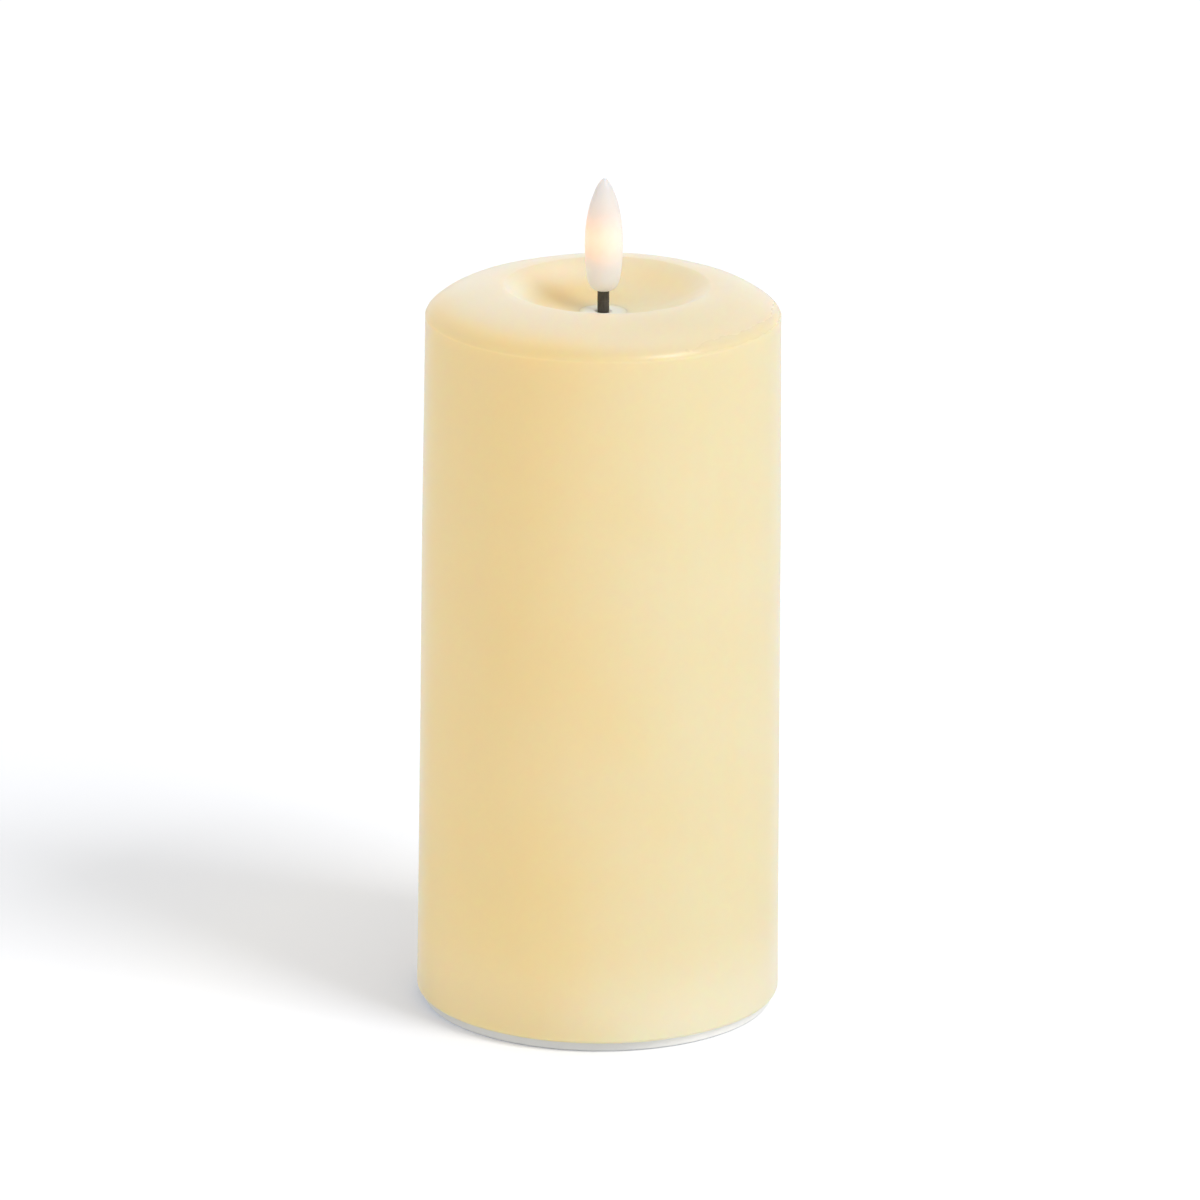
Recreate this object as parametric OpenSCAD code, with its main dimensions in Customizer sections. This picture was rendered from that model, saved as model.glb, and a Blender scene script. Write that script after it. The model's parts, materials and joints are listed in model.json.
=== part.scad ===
// Flameless pillar candle: hollow wax shell, bendable wick with a lamp bulb,
// and a battery base with a drop-down door and a three-way slide switch.
// Units are millimetres. +Z is up. The origin is the centre of the foot ring, on the table.

/* [Candle body] */
// Height of the body, from the table to the crest of the wax
body_h = 150; // [100:25:150]
// Diameter of the wax at its bottom edge
base_d = 73.7; // [73:0.1:75]
// Diameter of the wax at the end of the straight side, under the shoulder
top_d = 71.2; // [69.8:0.1:71.8]
// Thickness of the wax wall above the battery base
wax_wall = 5.0; // [4:0.2:5.4]
// Rounding of the wax at its bottom edge
bottom_round = 0.9; // [0.4:0.1:1.2]

/* [Shoulder and bowl] */
// Rise of the crest above the end of the straight side
crest_h = 6.0; // [4:0.2:7]
// Radius of the crest ring
crest_r = 21.5; // [20:0.5:24]
// Exponent of the shoulder curve, larger is fuller
shoulder_p = 2.2; // [1.5:0.1:2.6]
// Depth of the melted bowl below the crest
bowl_depth = 5.4; // [4:0.2:6.4]
// Radius of the flat middle of the bowl
bowl_flat_r = 5.2; // [5:0.2:7]

/* [Flame and wick] */
// Largest diameter of the flame bulb
flame_d = 7.6; // [7.2:0.1:9]
// Length of the flame bulb
flame_l = 23.0; // [21:0.1:26]
// Diameter of the wick sleeve
wick_d = 2.4; // [2.3:0.05:2.5]
// Length of wick that shows between the bowl and the bulb
wick_show = 4.4; // [3.6:0.2:6]
// Diameter of the collar disc at the foot of the wick
collar_d = 9.4; // [8.4:0.2:11]

/* [Battery base] */
// Height of the foot that shows under the wax
foot_h = 2.0; // [1.6:0.2:2.4]
// How far the foot is set in from the wax edge
foot_inset = 1.3; // [0.8:0.1:1.6]
// Diameter of one cell
cell_d = 14.2; // [13.8:0.1:14.3]
// Length of one cell over its button
cell_l = 50.3; // [50:0.1:50.5]
// Travel of the switch knob between its two end positions
switch_travel = 4.0; // [3:0.5:4]

/* [Hidden] */
$fn = 96;
overlap = 0.01;
through = 60; // longer than any part it cuts or trims
sides = [-1, 1];

// colours shared by several nodes
outer_plastic = [0.93, 0.93, 0.91];
inner_plastic = [0.9, 0.9, 0.88];
contact_metal = [0.85, 0.83, 0.76];
label_green = [0.16, 0.33, 0.3];
wire_red = [0.75, 0.08, 0.06];
wire_black = [0.08, 0.08, 0.08];

// wax
base_r = base_d / 2;
top_r = top_d / 2;
seam_z = body_h - crest_h;
lip_h = 0.6; // quick rise at the outer edge of the shoulder
lip_w = 0.3;
bowl_z = body_h - bowl_depth;
roof_z = bowl_z - 7; // underside of the wax under the bowl
roof_flat_r = 6;
roof_round_r = 9;
roof_round_h = 11;
ledge_z = 38;
bore_r = 33.0; // below the ledge, where the base fits
ledge_in_r = min(bore_r - 0.4, base_r - wax_wall - 0.3);

// wick, collar and lamp
wick_r = wick_d / 2;
wick_bore_r = 0.86;
flame_gap = 0.04;
collar_r = collar_d / 2;
collar_t = 1.0;
collar_low = bowl_z - 13;
collar_gap = 0.1;
wick_gap = 0.05;
neck_r = 2.5; // threaded through the roof into the nut
bowl_in = max(bowl_flat_r, collar_r + 0.4);
bulb_z = bowl_z + wick_show;
lamp_z = bulb_z + 6.7;
lamp_r = 1.5;
lamp_straight_h = 3.6;
leg_r = 0.27;
leg_x = 0.54;
splice_x = 1.1;
splice_z = bowl_z - 18.4;

// base: floor plate, foot, skirt and cover
plate_z = 0.8;
plate_t = 1.6;
plate_top = plate_z + plate_t;
foot_r = base_r - foot_inset;
skirt_r = bore_r - 0.2;
skirt_in = skirt_r - 1.4;
skirt_top = 24;
cover_z = 32;
cover_top = cover_z + 1.4;

// battery compartment, measured inside; comp_x and comp_y are half sizes
comp_x = 27.6;
comp_y = 14.9;
comp_wall = 1.4;
comp_z = 17.6;
comp_top = comp_z + 1.6;
cell_r = cell_d / 2;
cell_y = 7.3;
cell_z = 10.0;
button_l = 1.4;

// contacts
sheet = 0.4;
dimple = 0.6;
tab_w = 3;
tab_x = comp_x - sheet / 2;
button_x = comp_x - sheet - dimple;
spring_wire = 0.32;
spring_clear = 0.02;
spring_gap = comp_x - sheet - (cell_l - button_x);
spring_l = spring_gap - 2 * (spring_wire + spring_clear);

// door; door_x and door_y are half sizes
door_x = 28.3;
door_y = 15.3;
door_gap = 0.25;
hinge_x = -door_x + plate_t;
hook_y = 7;
hook_w = 4.6;
hook_tip_x = -29.35;

// switch; case_x and case_y are half sizes
switch_y = 24.2;
switch_z = 5.0;
slot_x = switch_travel / 2 + 1.75; // half length of the knob slot
knob_x = -switch_travel / 2;
ear_x = 7.6;
case_x = 5.8;
case_y = 2.8;
case_h = 4.8;
case_wall = 0.4;
case_floor = 0.5;
switch_board_t = 1;
switch_joint_z = 12.4; // where the wires meet the switch pins

// circuit board; board_x and board_y are half sizes
board_x = 21;
board_y = 12;
board_z = 21.4;
board_t = 1.2;
board_top = board_z + board_t;

// screw places [x, y]
board_screw_xy = [[-17, 8], [17, -8]];
cover_screw_xy = [[18, 21.6], [-18, 21.6], [0, -25]];
switch_screw_xy = [for (side = sides) [side * ear_x, switch_y]];
cover_seat_z = 5; // under the heads of the cover screws
socket_z = 6.6;   // floor of the sockets for the cover posts
post_z = socket_z + 0.05;
post_r = 2.6;

// ---- helpers -------------------------------------------------------------

function unit(v) = v / norm(v);

// Catmull-Rom point between the knots from and to
function spline_point(before, from, to, after, t) = 0.5 * (2 * from + (to - before) * t
    + (2 * before - 5 * from + 4 * to - after) * t * t
    + (3 * from - before - 3 * to + after) * t * t * t);

// A smooth path through the knots, with the given number of steps to each span
function smooth_path(knots, steps) = let (last = len(knots) - 1) [
    for (i = [0:last - 1], s = [0:steps - 1])
        spline_point(knots[max(i - 1, 0)], knots[i], knots[i + 1],
            knots[min(i + 2, last)], s / steps),
    knots[last]];

function tangent(path, i) = unit(path[min(i + 1, len(path) - 1)] - path[max(i - 1, 0)]);

// A round wire of radius r along a path; ref is any direction the path never follows
module wire(path, r, ref, n = 10) {
    points = [
        for (i = [0:len(path) - 1])
            let (along = tangent(path, i), u = unit(cross(along, ref)), v = cross(along, u))
            for (j = [0:n - 1])
                path[i] + r * (cos(360 * j / n) * u + sin(360 * j / n) * v)];
    last = (len(path) - 1) * n;
    faces = concat(
        [[for (j = [0:n - 1]) j]],
        [for (i = [0:len(path) - 2], j = [0:n - 1])
            [i * n + j, (i + 1) * n + j, (i + 1) * n + (j + 1) % n, i * n + (j + 1) % n]],
        [[for (j = [n - 1:-1:0]) last + j]]);
    polyhedron(points = points, faces = faces, convexity = 6);
}

// Path of a conical spring along X, from radius r0 to r1.
// Its first three quarters of a turn and its last half turn lie flat.
function coil_path(r0, r1, length, turns, steps) = [
    for (i = [0:turns * steps])
        let (angle = 360 * i / steps,
            climb = min(1, max(0, (i / steps - 0.75) / (turns - 1.25))),
            r = r0 + (r1 - r0) * climb)
        [length * climb, r * cos(angle), r * sin(angle)]];

// A box that starts at start in x and z, and is centred on it in y
module bar(start, size) translate([start.x, start.y - size.y / 2, start.z]) cube(size);

// A cylinder along Y, centred on the origin
module rod_y(r, h) rotate([90, 0, 0]) translate([0, 0, -h / 2]) cylinder(r = r, h = h);

module at_each(places, z) {
    for (p = places) translate([p.x, p.y, z]) children();
}

module rounded_plate(half_x, half_y, r, h) linear_extrude(h) {
    square([2 * (half_x - r), 2 * half_y], center = true);
    square([2 * half_x, 2 * (half_y - r)], center = true);
    for (sx = sides, sy = sides)
        translate([sx * (half_x - r), sy * (half_y - r)]) circle(r, $fn = 48);
}

// Outline of the door, grown all round; its corners are tighter at the hinge end, -X
module door_plan(grow) {
    hinge_r = 1 + grow;
    latch_r = 4 + grow;
    x = door_x + grow;
    y = door_y + grow;
    translate([hinge_r - x, -y]) square([2 * x - hinge_r - latch_r, 2 * y]);
    translate([-x, hinge_r - y]) square([2 * hinge_r, 2 * (y - hinge_r)]);
    translate([x - 2 * latch_r, latch_r - y]) square([2 * latch_r, 2 * (y - latch_r)]);
    for (side = sides) {
        translate([hinge_r - x, side * (y - hinge_r)]) circle(hinge_r, $fn = 32);
        translate([x - latch_r, side * (y - latch_r)]) circle(latch_r, $fn = 48);
    }
}

// Pan-head self-tapping screw with a cross recess, head down, seated at z = 0
module tapping_screw(shank_r, length, head_r, head_h) difference() {
    union() {
        cylinder(r = shank_r, h = length, $fn = 40);
        translate([0, 0, length - overlap]) cylinder(r1 = shank_r, r2 = 0.25, h = 1.4, $fn = 40);
        translate([0, 0, -head_h])
            cylinder(r1 = head_r * 0.82, r2 = head_r, h = head_h * 0.4, $fn = 48);
        translate([0, 0, -head_h * 0.6]) cylinder(r = head_r, h = head_h * 0.6, $fn = 48);
    }
    for (a = [0, 90]) rotate(a)
        bar([-head_r * 0.6, 0, -head_h - 0.1], [head_r * 1.2, head_r * 0.22, head_h * 0.65]);
}

// ---- wax shell -----------------------------------------------------------

// Bead where the straight side meets the shoulder: [out from top_r, up from seam_z]
seam_bead = [[0.01, -0.7], [0.13, -0.35], [0.13, -0.1], [0, 0]];
// Stations on the shoulder, as distances in from top_r
shoulder_in = [0.12, 0.3, 0.55, 0.9, 1.5, 2.4, 3.6, 5, 6.6, 8.4, 10.4, 12.4];
// Stations on the bowl, from near the crest, 1, to the flat middle, 0
bowl_steps = [0.97, 0.93, 0.88, 0.8, 0.7, 0.6, 0.5, 0.4, 0.3, 0.2, 0.1, 0];

function shoulder_z(r) = seam_z + lip_h * (1 - exp(-(top_r - r) / lip_w))
    + (crest_h - lip_h) * (1 - pow(max(0, (r - crest_r) / (top_r - crest_r)), shoulder_p));

// Rise of the bowl's wall from its flat middle, t = 0, to the crest, t = 1:
// a dish with a rounded rim
function dish(t) = 1 - pow(max(0, 1 - pow(t, 2.2)), 1.3);

module wax_shell() color([0.95, 0.87, 0.68]) rotate_extrude($fn = 180) polygon(concat(
    [[bore_r, foot_h]],
    [for (a = [0:22.5:90])
        [base_r - bottom_round + bottom_round * sin(a),
            foot_h + bottom_round - bottom_round * cos(a)]],
    [for (p = seam_bead) [top_r + p[0], seam_z + p[1]]],
    [for (d = shoulder_in) if (d < top_r - crest_r - 0.5) [top_r - d, shoulder_z(top_r - d)]],
    [[crest_r, body_h]],
    [for (t = bowl_steps) [bowl_in + (crest_r - bowl_in) * t, bowl_z + bowl_depth * dish(t)]],
    // seat for the collar, then the hole for its neck
    [[collar_r + collar_gap, bowl_z], [collar_r + collar_gap, bowl_z - collar_t],
        [neck_r + collar_gap, bowl_z - collar_t], [neck_r + collar_gap, roof_z],
        [roof_flat_r, roof_z]],
    [for (a = [10:16:90])
        [top_r - wax_wall - roof_round_r + roof_round_r * sin(a),
            roof_z - roof_round_h + roof_round_h * cos(a)]],
    [[ledge_in_r, ledge_z], [bore_r, ledge_z]]));

// ---- wick and lamp -------------------------------------------------------

// Outside of the bulb: [fraction of flame_l, fraction of the largest radius]
flame_shape = [
    [0.00, 0.46], [0.01, 0.57], [0.025, 0.665], [0.05, 0.76], [0.085, 0.84], [0.13, 0.9],
    [0.19, 0.945], [0.27, 0.98], [0.37, 0.998], [0.45, 1.0], [0.52, 0.983], [0.58, 0.953],
    [0.64, 0.905], [0.7, 0.84], [0.76, 0.757], [0.81, 0.67], [0.86, 0.565], [0.9, 0.467],
    [0.935, 0.365], [0.965, 0.255], [0.985, 0.16], [1.0, 0.0]];
flame_bore_r = 2.4;
flame_bore_dome_h = 4;
flame_bore_top = flame_l - 8.2;

module flame_bulb() color([0.97, 0.95, 0.9]) translate([0, 0, bulb_z])
    rotate_extrude($fn = 96) polygon(concat(
        [[wick_r + flame_gap, 0]],
        [for (s = flame_shape) [flame_d / 2 * s[1], flame_l * s[0]]],
        [[0, flame_bore_top]],
        [for (a = [15:15:90])
            [flame_bore_r * sin(a), flame_bore_top - flame_bore_dome_h * (1 - cos(a))]],
        [[flame_bore_r, 2.6], [wick_r + flame_gap, 2.2]]));

module led_lamp() color([1, 0.85, 0.5]) translate([0, 0, lamp_z])
    rotate_extrude($fn = 64) polygon(concat(
        [[0, 0], [1.9, 0], [1.9, 0.9], [lamp_r, 0.9], [lamp_r, lamp_straight_h]],
        [for (a = [75:-15:15]) [lamp_r * sin(a), lamp_straight_h + lamp_r * cos(a)]],
        [[0, lamp_straight_h + lamp_r]]));

module led_legs() color("silver") for (side = sides)
    wire(smooth_path([
        [side * leg_x, 0, lamp_z], [side * leg_x, 0, bowl_z - 8],
        [side * leg_x, 0, bowl_z - 12.6], [side * 0.7, 0, bowl_z - 13.6],
        [side * splice_x, 0, bowl_z - 15.4], [side * splice_x, 0, splice_z]], 4),
        leg_r, [0, 1, 0], 8);

module wick_sleeve() color([0.13, 0.12, 0.11]) translate([0, 0, bowl_z - 10]) difference() {
    cylinder(r = wick_r, h = lamp_z - bowl_z + 9.9, $fn = 48);
    translate([0, 0, -overlap]) cylinder(r = wick_bore_r, h = through, $fn = 48);
}

module wick_collar() color([0.96, 0.95, 0.92]) rotate_extrude($fn = 96) polygon([
    [wick_r + wick_gap, collar_low], [neck_r, collar_low], [neck_r, bowl_z - collar_t],
    [collar_r, bowl_z - collar_t], [collar_r, bowl_z - 0.35], [collar_r - 0.35, bowl_z],
    [wick_r + 0.5, bowl_z], [wick_r + wick_gap, bowl_z - 0.6]]);

// Flange against the roof, with a notched hub below
module collar_nut() color(inner_plastic) translate([0, 0, roof_z - 1.5]) difference() {
    union() {
        cylinder(r = 6, h = 1.5);
        translate([0, 0, -1.6]) cylinder(r = 3.6, h = 1.7);
    }
    translate([0, 0, -2]) cylinder(r = neck_r + 0.02, h = 4);
    for (a = [45:90:315]) rotate(a) bar([2.9, 0, -2], [1, 0.8, 1.9]);
}

// ---- battery base --------------------------------------------------------

module housing_body() {
    // foot ring, floor plate and skirt
    rotate_extrude($fn = 180) polygon([[0, plate_z], [foot_r - 2, plate_z], [foot_r - 1.8, 0],
        [foot_r - 0.4, 0], [foot_r, 0.4], [foot_r, foot_h], [skirt_r, foot_h],
        [skirt_r, skirt_top], [skirt_in, skirt_top], [skirt_in, plate_top], [0, plate_top]]);
    // battery compartment
    intersection() {
        bar([-comp_x - comp_wall, 0, plate_top - 0.5],
            [2 * (comp_x + comp_wall), 2 * (comp_y + comp_wall), comp_top - plate_top + 0.5]);
        cylinder(r = skirt_r - 0.6, h = through);
    }
    // bosses for the board, the switch and the cover screws
    at_each(board_screw_xy, comp_top - 0.5)
        cylinder(r = 2.3, h = board_z - comp_top + 0.5, $fn = 40);
    at_each(switch_screw_xy, plate_top - 0.5)
        cylinder(r = 2.1, h = switch_z - plate_top + 0.5, $fn = 40);
    at_each(cover_screw_xy, plate_top - 0.5)
        cylinder(r = 4, h = 9 - plate_top + 0.5, $fn = 48);
}

module compartment_cuts() {
    // room for the cells, leaving a rib between them under the roof
    difference() {
        bar([-comp_x, 0, -1], [2 * comp_x, 2 * comp_y, comp_z + 1]);
        bar([-21, 0, 13.6], [42, 1, 10]);
    }
    // slots for the terminal tabs
    for (side = sides)
        bar([comp_x - sheet - 0.15, side * cell_y, comp_z - 1], [sheet + 0.3, tab_w + 0.6, 4]);
}

module door_cuts() {
    translate([0, 0, -1]) linear_extrude(plate_top + 1) door_plan(door_gap);
    // finger notch at the latch end
    translate([door_x + 0.6, 0, plate_z - 0.01]) intersection() {
        translate([0, 0, -3.4]) sphere(r = 4.6, $fn = 64);
        bar([-5, 0, -2], [10, 10, 3.05]);
    }
    // relief for the door's rounded hinge edge
    translate([hinge_x, 0, plate_top])
        rod_y(r = plate_t + door_gap, h = 2 * (door_y + door_gap), $fn = 64);
    // slots for the door hooks
    for (side = sides)
        bar([-comp_x - comp_wall - 0.6, side * hook_y, plate_top],
            [comp_wall + 1.2, hook_w + 1, 3.4]);
}

module screw_cuts() {
    at_each(board_screw_xy, comp_top - 0.2) cylinder(r = 0.85, h = 6, $fn = 32);
    at_each(switch_screw_xy, 1.7) cylinder(r = 0.8, h = 6, $fn = 32);
    // head recess from below, shank hole, and socket for the cover post
    at_each(cover_screw_xy, 0) {
        cylinder(r = 2.7, h = cover_seat_z, $fn = 48);
        cylinder(r = 1.4, h = 8, $fn = 40);
        translate([0, 0, socket_z]) cylinder(r = post_r + 0.15, h = 4, $fn = 48);
    }
}

module knob_slot(h) bar([-slot_x, 0, -1], [2 * slot_x, 3.1, h]);

module switch_cuts() translate([0, switch_y, 0]) {
    // knob slot in a shallow finger recess
    translate([0, 0, plate_z - 1]) rounded_plate(6.2, 3.1, 2.4, 1.6);
    knob_slot(5);
    // one, two and three dots mark the three switch positions
    for (i = [0:2], j = [0:i])
        translate([(i - 1) * switch_travel / 2 + (j - i / 2) * 0.62, -4.4, plate_z - 0.1])
            cylinder(r = 0.22, h = 0.35, $fn = 24);
}

module base_housing() color(outer_plastic) difference() {
    union() housing_body();
    compartment_cuts();
    door_cuts();
    screw_cuts();
    switch_cuts();
}

module inner_cover() color(inner_plastic) difference() {
    union() {
        // disc and rim, with a lip inside the top of the skirt
        rotate_extrude($fn = 180) polygon([[0, cover_z], [skirt_in, cover_z],
            [skirt_in, skirt_top + 2], [skirt_in - 1.1, skirt_top + 1],
            [skirt_in - 1.1, skirt_top - 2], [skirt_in - 0.1, skirt_top - 2],
            [skirt_in - 0.1, skirt_top], [skirt_r, skirt_top], [skirt_r, cover_top - 0.6],
            [skirt_r - 0.6, cover_top], [0, cover_top]]);
        at_each(cover_screw_xy, post_z)
            cylinder(r = post_r, h = cover_z - post_z + 0.15, $fn = 48);
        translate([0, 0, cover_z]) cylinder(r = 5, h = 3.4);
    }
    // central hole for the lamp wires
    translate([0, 0, cover_z - 1]) cylinder(r = 2.4, h = 8);
    at_each(cover_screw_xy, 6) cylinder(r = 1.22, h = 12, $fn = 40);
    // ring of six holes
    for (a = [30:60:330]) rotate(a) translate([20, 0, cover_z - 1])
        cylinder(r = 1.6, h = 4, $fn = 32);
}

module cover_screws() color("silver") at_each(cover_screw_xy, cover_seat_z)
    tapping_screw(shank_r = 1.2, length = 9, head_r = 2.4, head_h = 1.7);

module board_screws() color("silver") at_each(board_screw_xy, board_top) mirror([0, 0, 1])
    tapping_screw(shank_r = 0.83, length = 1.9, head_r = 1.7, head_h = 1.1);

module switch_screws() color("silver")
    at_each(switch_screw_xy, switch_z + case_floor) mirror([0, 0, 1])
        tapping_screw(shank_r = 0.78, length = 2.1, head_r = 1.6, head_h = 1.0);

// Door: hooks at -X, spring tongue at +X
module battery_door() color(outer_plastic) difference() {
    union() {
        // panel with a rounded hinge edge
        intersection() {
            translate([0, 0, plate_z]) linear_extrude(plate_t) door_plan(0);
            union() {
                bar([hinge_x, 0, plate_z], [60, 40, plate_t]);
                translate([hinge_x, 0, plate_top]) rod_y(r = plate_t, h = 40, $fn = 64);
            }
        }
        for (side = sides) {
            // stiffening rib that holds the cell up
            bar([-21, side * cell_y, plate_top - 0.2], [38, 1.2, 0.6]);
            // hook: root, then tongue
            bar([hinge_x + 0.1, side * hook_y, plate_top - 0.2], [1.4, hook_w, 1.15]);
            bar([hook_tip_x, side * hook_y, plate_top + 0.05],
                [hinge_x + 1.4 - hook_tip_x, hook_w, 0.9]);
        }
        // detent bump on the spring tongue
        translate([door_x - 0.1, 0, plate_z + plate_t / 2]) rod_y(r = 0.28, h = 5, $fn = 24);
    }
    // slots that free the spring tongue
    for (side = sides) bar([door_x - 9, side * 5.2, plate_z - 1], [10, 0.9, 4]);
    // grip grooves
    for (i = [0:3])
        translate([door_x - 6.8 + i * 1.6, 0, plate_z - 0.15]) rod_y(r = 0.45, h = 7.2, $fn = 24);
}

// ---- cells and contacts --------------------------------------------------

// One cell lies along X, its button end at x = 0 and its body towards -X.
// Profiles are [radius, distance from the button end].
module cell_can() rotate([0, -90, 0]) rotate_extrude($fn = 72) polygon([
    [0, 0], [2.5, 0], [2.75, 0.25], [2.75, button_l], [5.4, button_l],
    [5.6, button_l + 0.25], [cell_r - 1.0, button_l + 0.25], [cell_r - 0.2, button_l + 1.1],
    [cell_r - 0.2, cell_l - 0.6], [cell_r - 0.8, cell_l - 0.05], [5, cell_l - 0.05],
    [4.8, cell_l], [0, cell_l]]);

module cell_label() rotate([0, -90, 0]) rotate_extrude($fn = 72) polygon([
    [cell_r - 0.18, button_l + 1.4], [cell_r, button_l + 1.6],
    [cell_r, cell_l - 1.0], [cell_r - 0.18, cell_l - 0.8]]);

// Cell 1 lies at +Y with its button towards +X; cell 2 is turned half round
module place_cell(turn) rotate(turn) translate([button_x, cell_y, cell_z]) children();

module battery_1_can() color("silver") place_cell(0) cell_can();
module battery_1_label() color(label_green) place_cell(0) cell_label();
module battery_2_can() color("silver") place_cell(180) cell_can();
module battery_2_label() color(label_green) place_cell(180) cell_label();

// Cone from its tip, z = 0, back into the sheet
module contact_dimple() cylinder(r1 = 1.7, r2 = 2.3, h = dimple + 0.1, $fn = 40);

// Sheet at the +X wall, with a tab up through the compartment roof
module terminal(side) translate([comp_x - sheet, side * cell_y, 0]) {
    bar([0, 0, 5.6], [sheet, 9.2, 10]);
    bar([0, 0, 15], [sheet, tab_w, board_top + 1.6 - 15]);
}

module positive_terminal() color(contact_metal) {
    terminal(1);
    translate([button_x, cell_y, cell_z]) rotate([0, 90, 0]) contact_dimple();
}

module negative_terminal() color(contact_metal) terminal(-1);

module bridge_contact() color(contact_metal) {
    bar([-comp_x, 0, 6], [sheet, 24, 9.4]);
    translate([-button_x, -cell_y, cell_z]) rotate([0, -90, 0]) contact_dimple();
}

// Widest at its foot, x = 0, and narrowing towards -X
module contact_spring() wire(
    coil_path(r0 = 3.4, r1 = 2.1, length = -spring_l, turns = 3.5, steps = 24),
    spring_wire, [1, 0, 0], 8);

module negative_spring() color("silver")
    translate([comp_x - sheet - spring_wire - spring_clear, -cell_y, cell_z]) contact_spring();

module bridge_spring() color("silver")
    translate([-comp_x + sheet + spring_wire + spring_clear, cell_y, cell_z])
        mirror([1, 0, 0]) contact_spring();

// ---- electronics ---------------------------------------------------------

module circuit_board() color([0.1, 0.35, 0.2]) difference() {
    bar([-board_x, 0, board_z], [2 * board_x, 2 * board_y, board_t]);
    at_each(board_screw_xy, board_z - 1) cylinder(r = 1.0, h = 4, $fn = 32);
}

module control_chip() color([0.1, 0.1, 0.1]) translate([-4, -2, board_top]) {
    bar([-2.5, 0, 0.1], [5, 3.9, 1.4]);
    for (i = [-1.5:1:1.5], side = sides) bar([i * 1.27 - 0.2, side * 2.5, 0], [0.4, 1.1, 0.5]);
}

module timer_crystal() color("silver") translate([6, -8, board_top + 1.0]) rotate([0, 90, 0]) {
    cylinder(r = 1, h = 6, $fn = 40);
    for (side = sides) translate([0, side * 0.35, -1.2]) cylinder(r = 0.15, h = 1.3, $fn = 16);
}

module capacitor() color([0.12, 0.12, 0.35]) translate([-13, -6.5, board_top])
    rotate_extrude($fn = 64) polygon([[0, 0.2], [2.3, 0.2], [2.5, 0.4], [2.5, 0.9],
        [2.35, 1.1], [2.5, 1.3], [2.5, 6.6], [2.2, 7], [0, 7]]);

// Each place is [x, y, turn]
module resistors() color([0.15, 0.15, 0.15]) for (p = [[3, 7, 0], [7, 7, 0], [1.5, -8, 90]])
    translate([p.x, p.y, board_top]) rotate(p[2]) bar([-1, 0, 0], [2, 1.2, 0.5]);

module switch_case() color("silver") translate([0, switch_y, switch_z]) difference() {
    union() {
        rounded_plate(ear_x + 2, case_y, 1.4, case_floor);
        bar([-case_x, 0, 0], [2 * case_x, 2 * case_y, case_h]);
    }
    bar([case_wall - case_x, 0, case_floor],
        [2 * (case_x - case_wall), 2 * (case_y - case_wall), 10]);
    knob_slot(3);
    for (side = sides) translate([side * ear_x, 0, -1]) cylinder(r = 0.95, h = 3, $fn = 32);
}

module switch_board() color([0.45, 0.28, 0.14])
    translate([0, switch_y, switch_z + case_h - switch_board_t]) {
        bar([-5.35, 0, 0], [10.7, 4.7, switch_board_t]);
        for (x = [-2.5, 0, 2.5]) bar([x - 0.4, 0, 0.9], [0.8, 0.3, 3.2]);
    }

module switch_knob() color([0.15, 0.15, 0.15]) translate([knob_x, switch_y, 0]) {
    difference() {
        bar([-1.5, 0, 0.35], [3, 2.6, 6.2]);
        for (x = [-0.8, 0, 0.8]) bar([x - 0.14, 0, 0], [0.28, 4, 0.6]);
    }
    bar([-2.9, 0, switch_z + 0.6], [5.8, 4.2, 2.2]);
}

// ---- wiring --------------------------------------------------------------

// From the positive terminal's tab to the switch
module battery_wire_red() color(wire_red) wire(smooth_path([
    [tab_x - 0.77, cell_y, board_top + 0.9], [tab_x - 1.4, cell_y + 1.8, board_top + 2.2],
    [22, 14.6, board_top + 1.6], [12, 19, board_top - 1], [4.5, 22.5, 17.5],
    [1.4, switch_y - 0.55, 14.2], [0.1, switch_y - 0.75, switch_joint_z]], 6),
    0.55, [0, 0.3, 1]);

// From the negative terminal's tab to the board
module battery_wire_black() color(wire_black) wire(smooth_path([
    [tab_x - 0.77, -cell_y, board_top + 0.9], [tab_x - 2.2, -cell_y + 0.6, board_top + 2.4],
    [21.6, -4.6, board_top + 2.2], [18.6, -3.2, board_top + 1.6],
    [17.7, -2.7, board_top + 0.9], [17.5, -2.6, board_top + 0.3]], 6),
    0.55, [0.2, 1, 0]);

// Each wire is [x at the switch, x at the board, colour]
module switch_wires() for (w = [[-2.5, -10, [0.9, 0.75, 0.1]], [2.5, -6.4, [0.2, 0.45, 0.75]]])
    color(w[2]) wire(smooth_path([
        [w[0], switch_y + 0.75, switch_joint_z], [w[0] * 1.1, switch_y + 0.9, 14.4],
        [w[0] * 1.6 - 1, switch_y - 1.6, 19.6], [w[1], 16.6, board_top + 2.4],
        [w[1], 12.2, board_top + 2.2], [w[1], 10.4, board_top + 1.2],
        [w[1], 10.2, board_top + 0.2]], 6),
        0.5, [1, 0, 0]);

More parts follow.
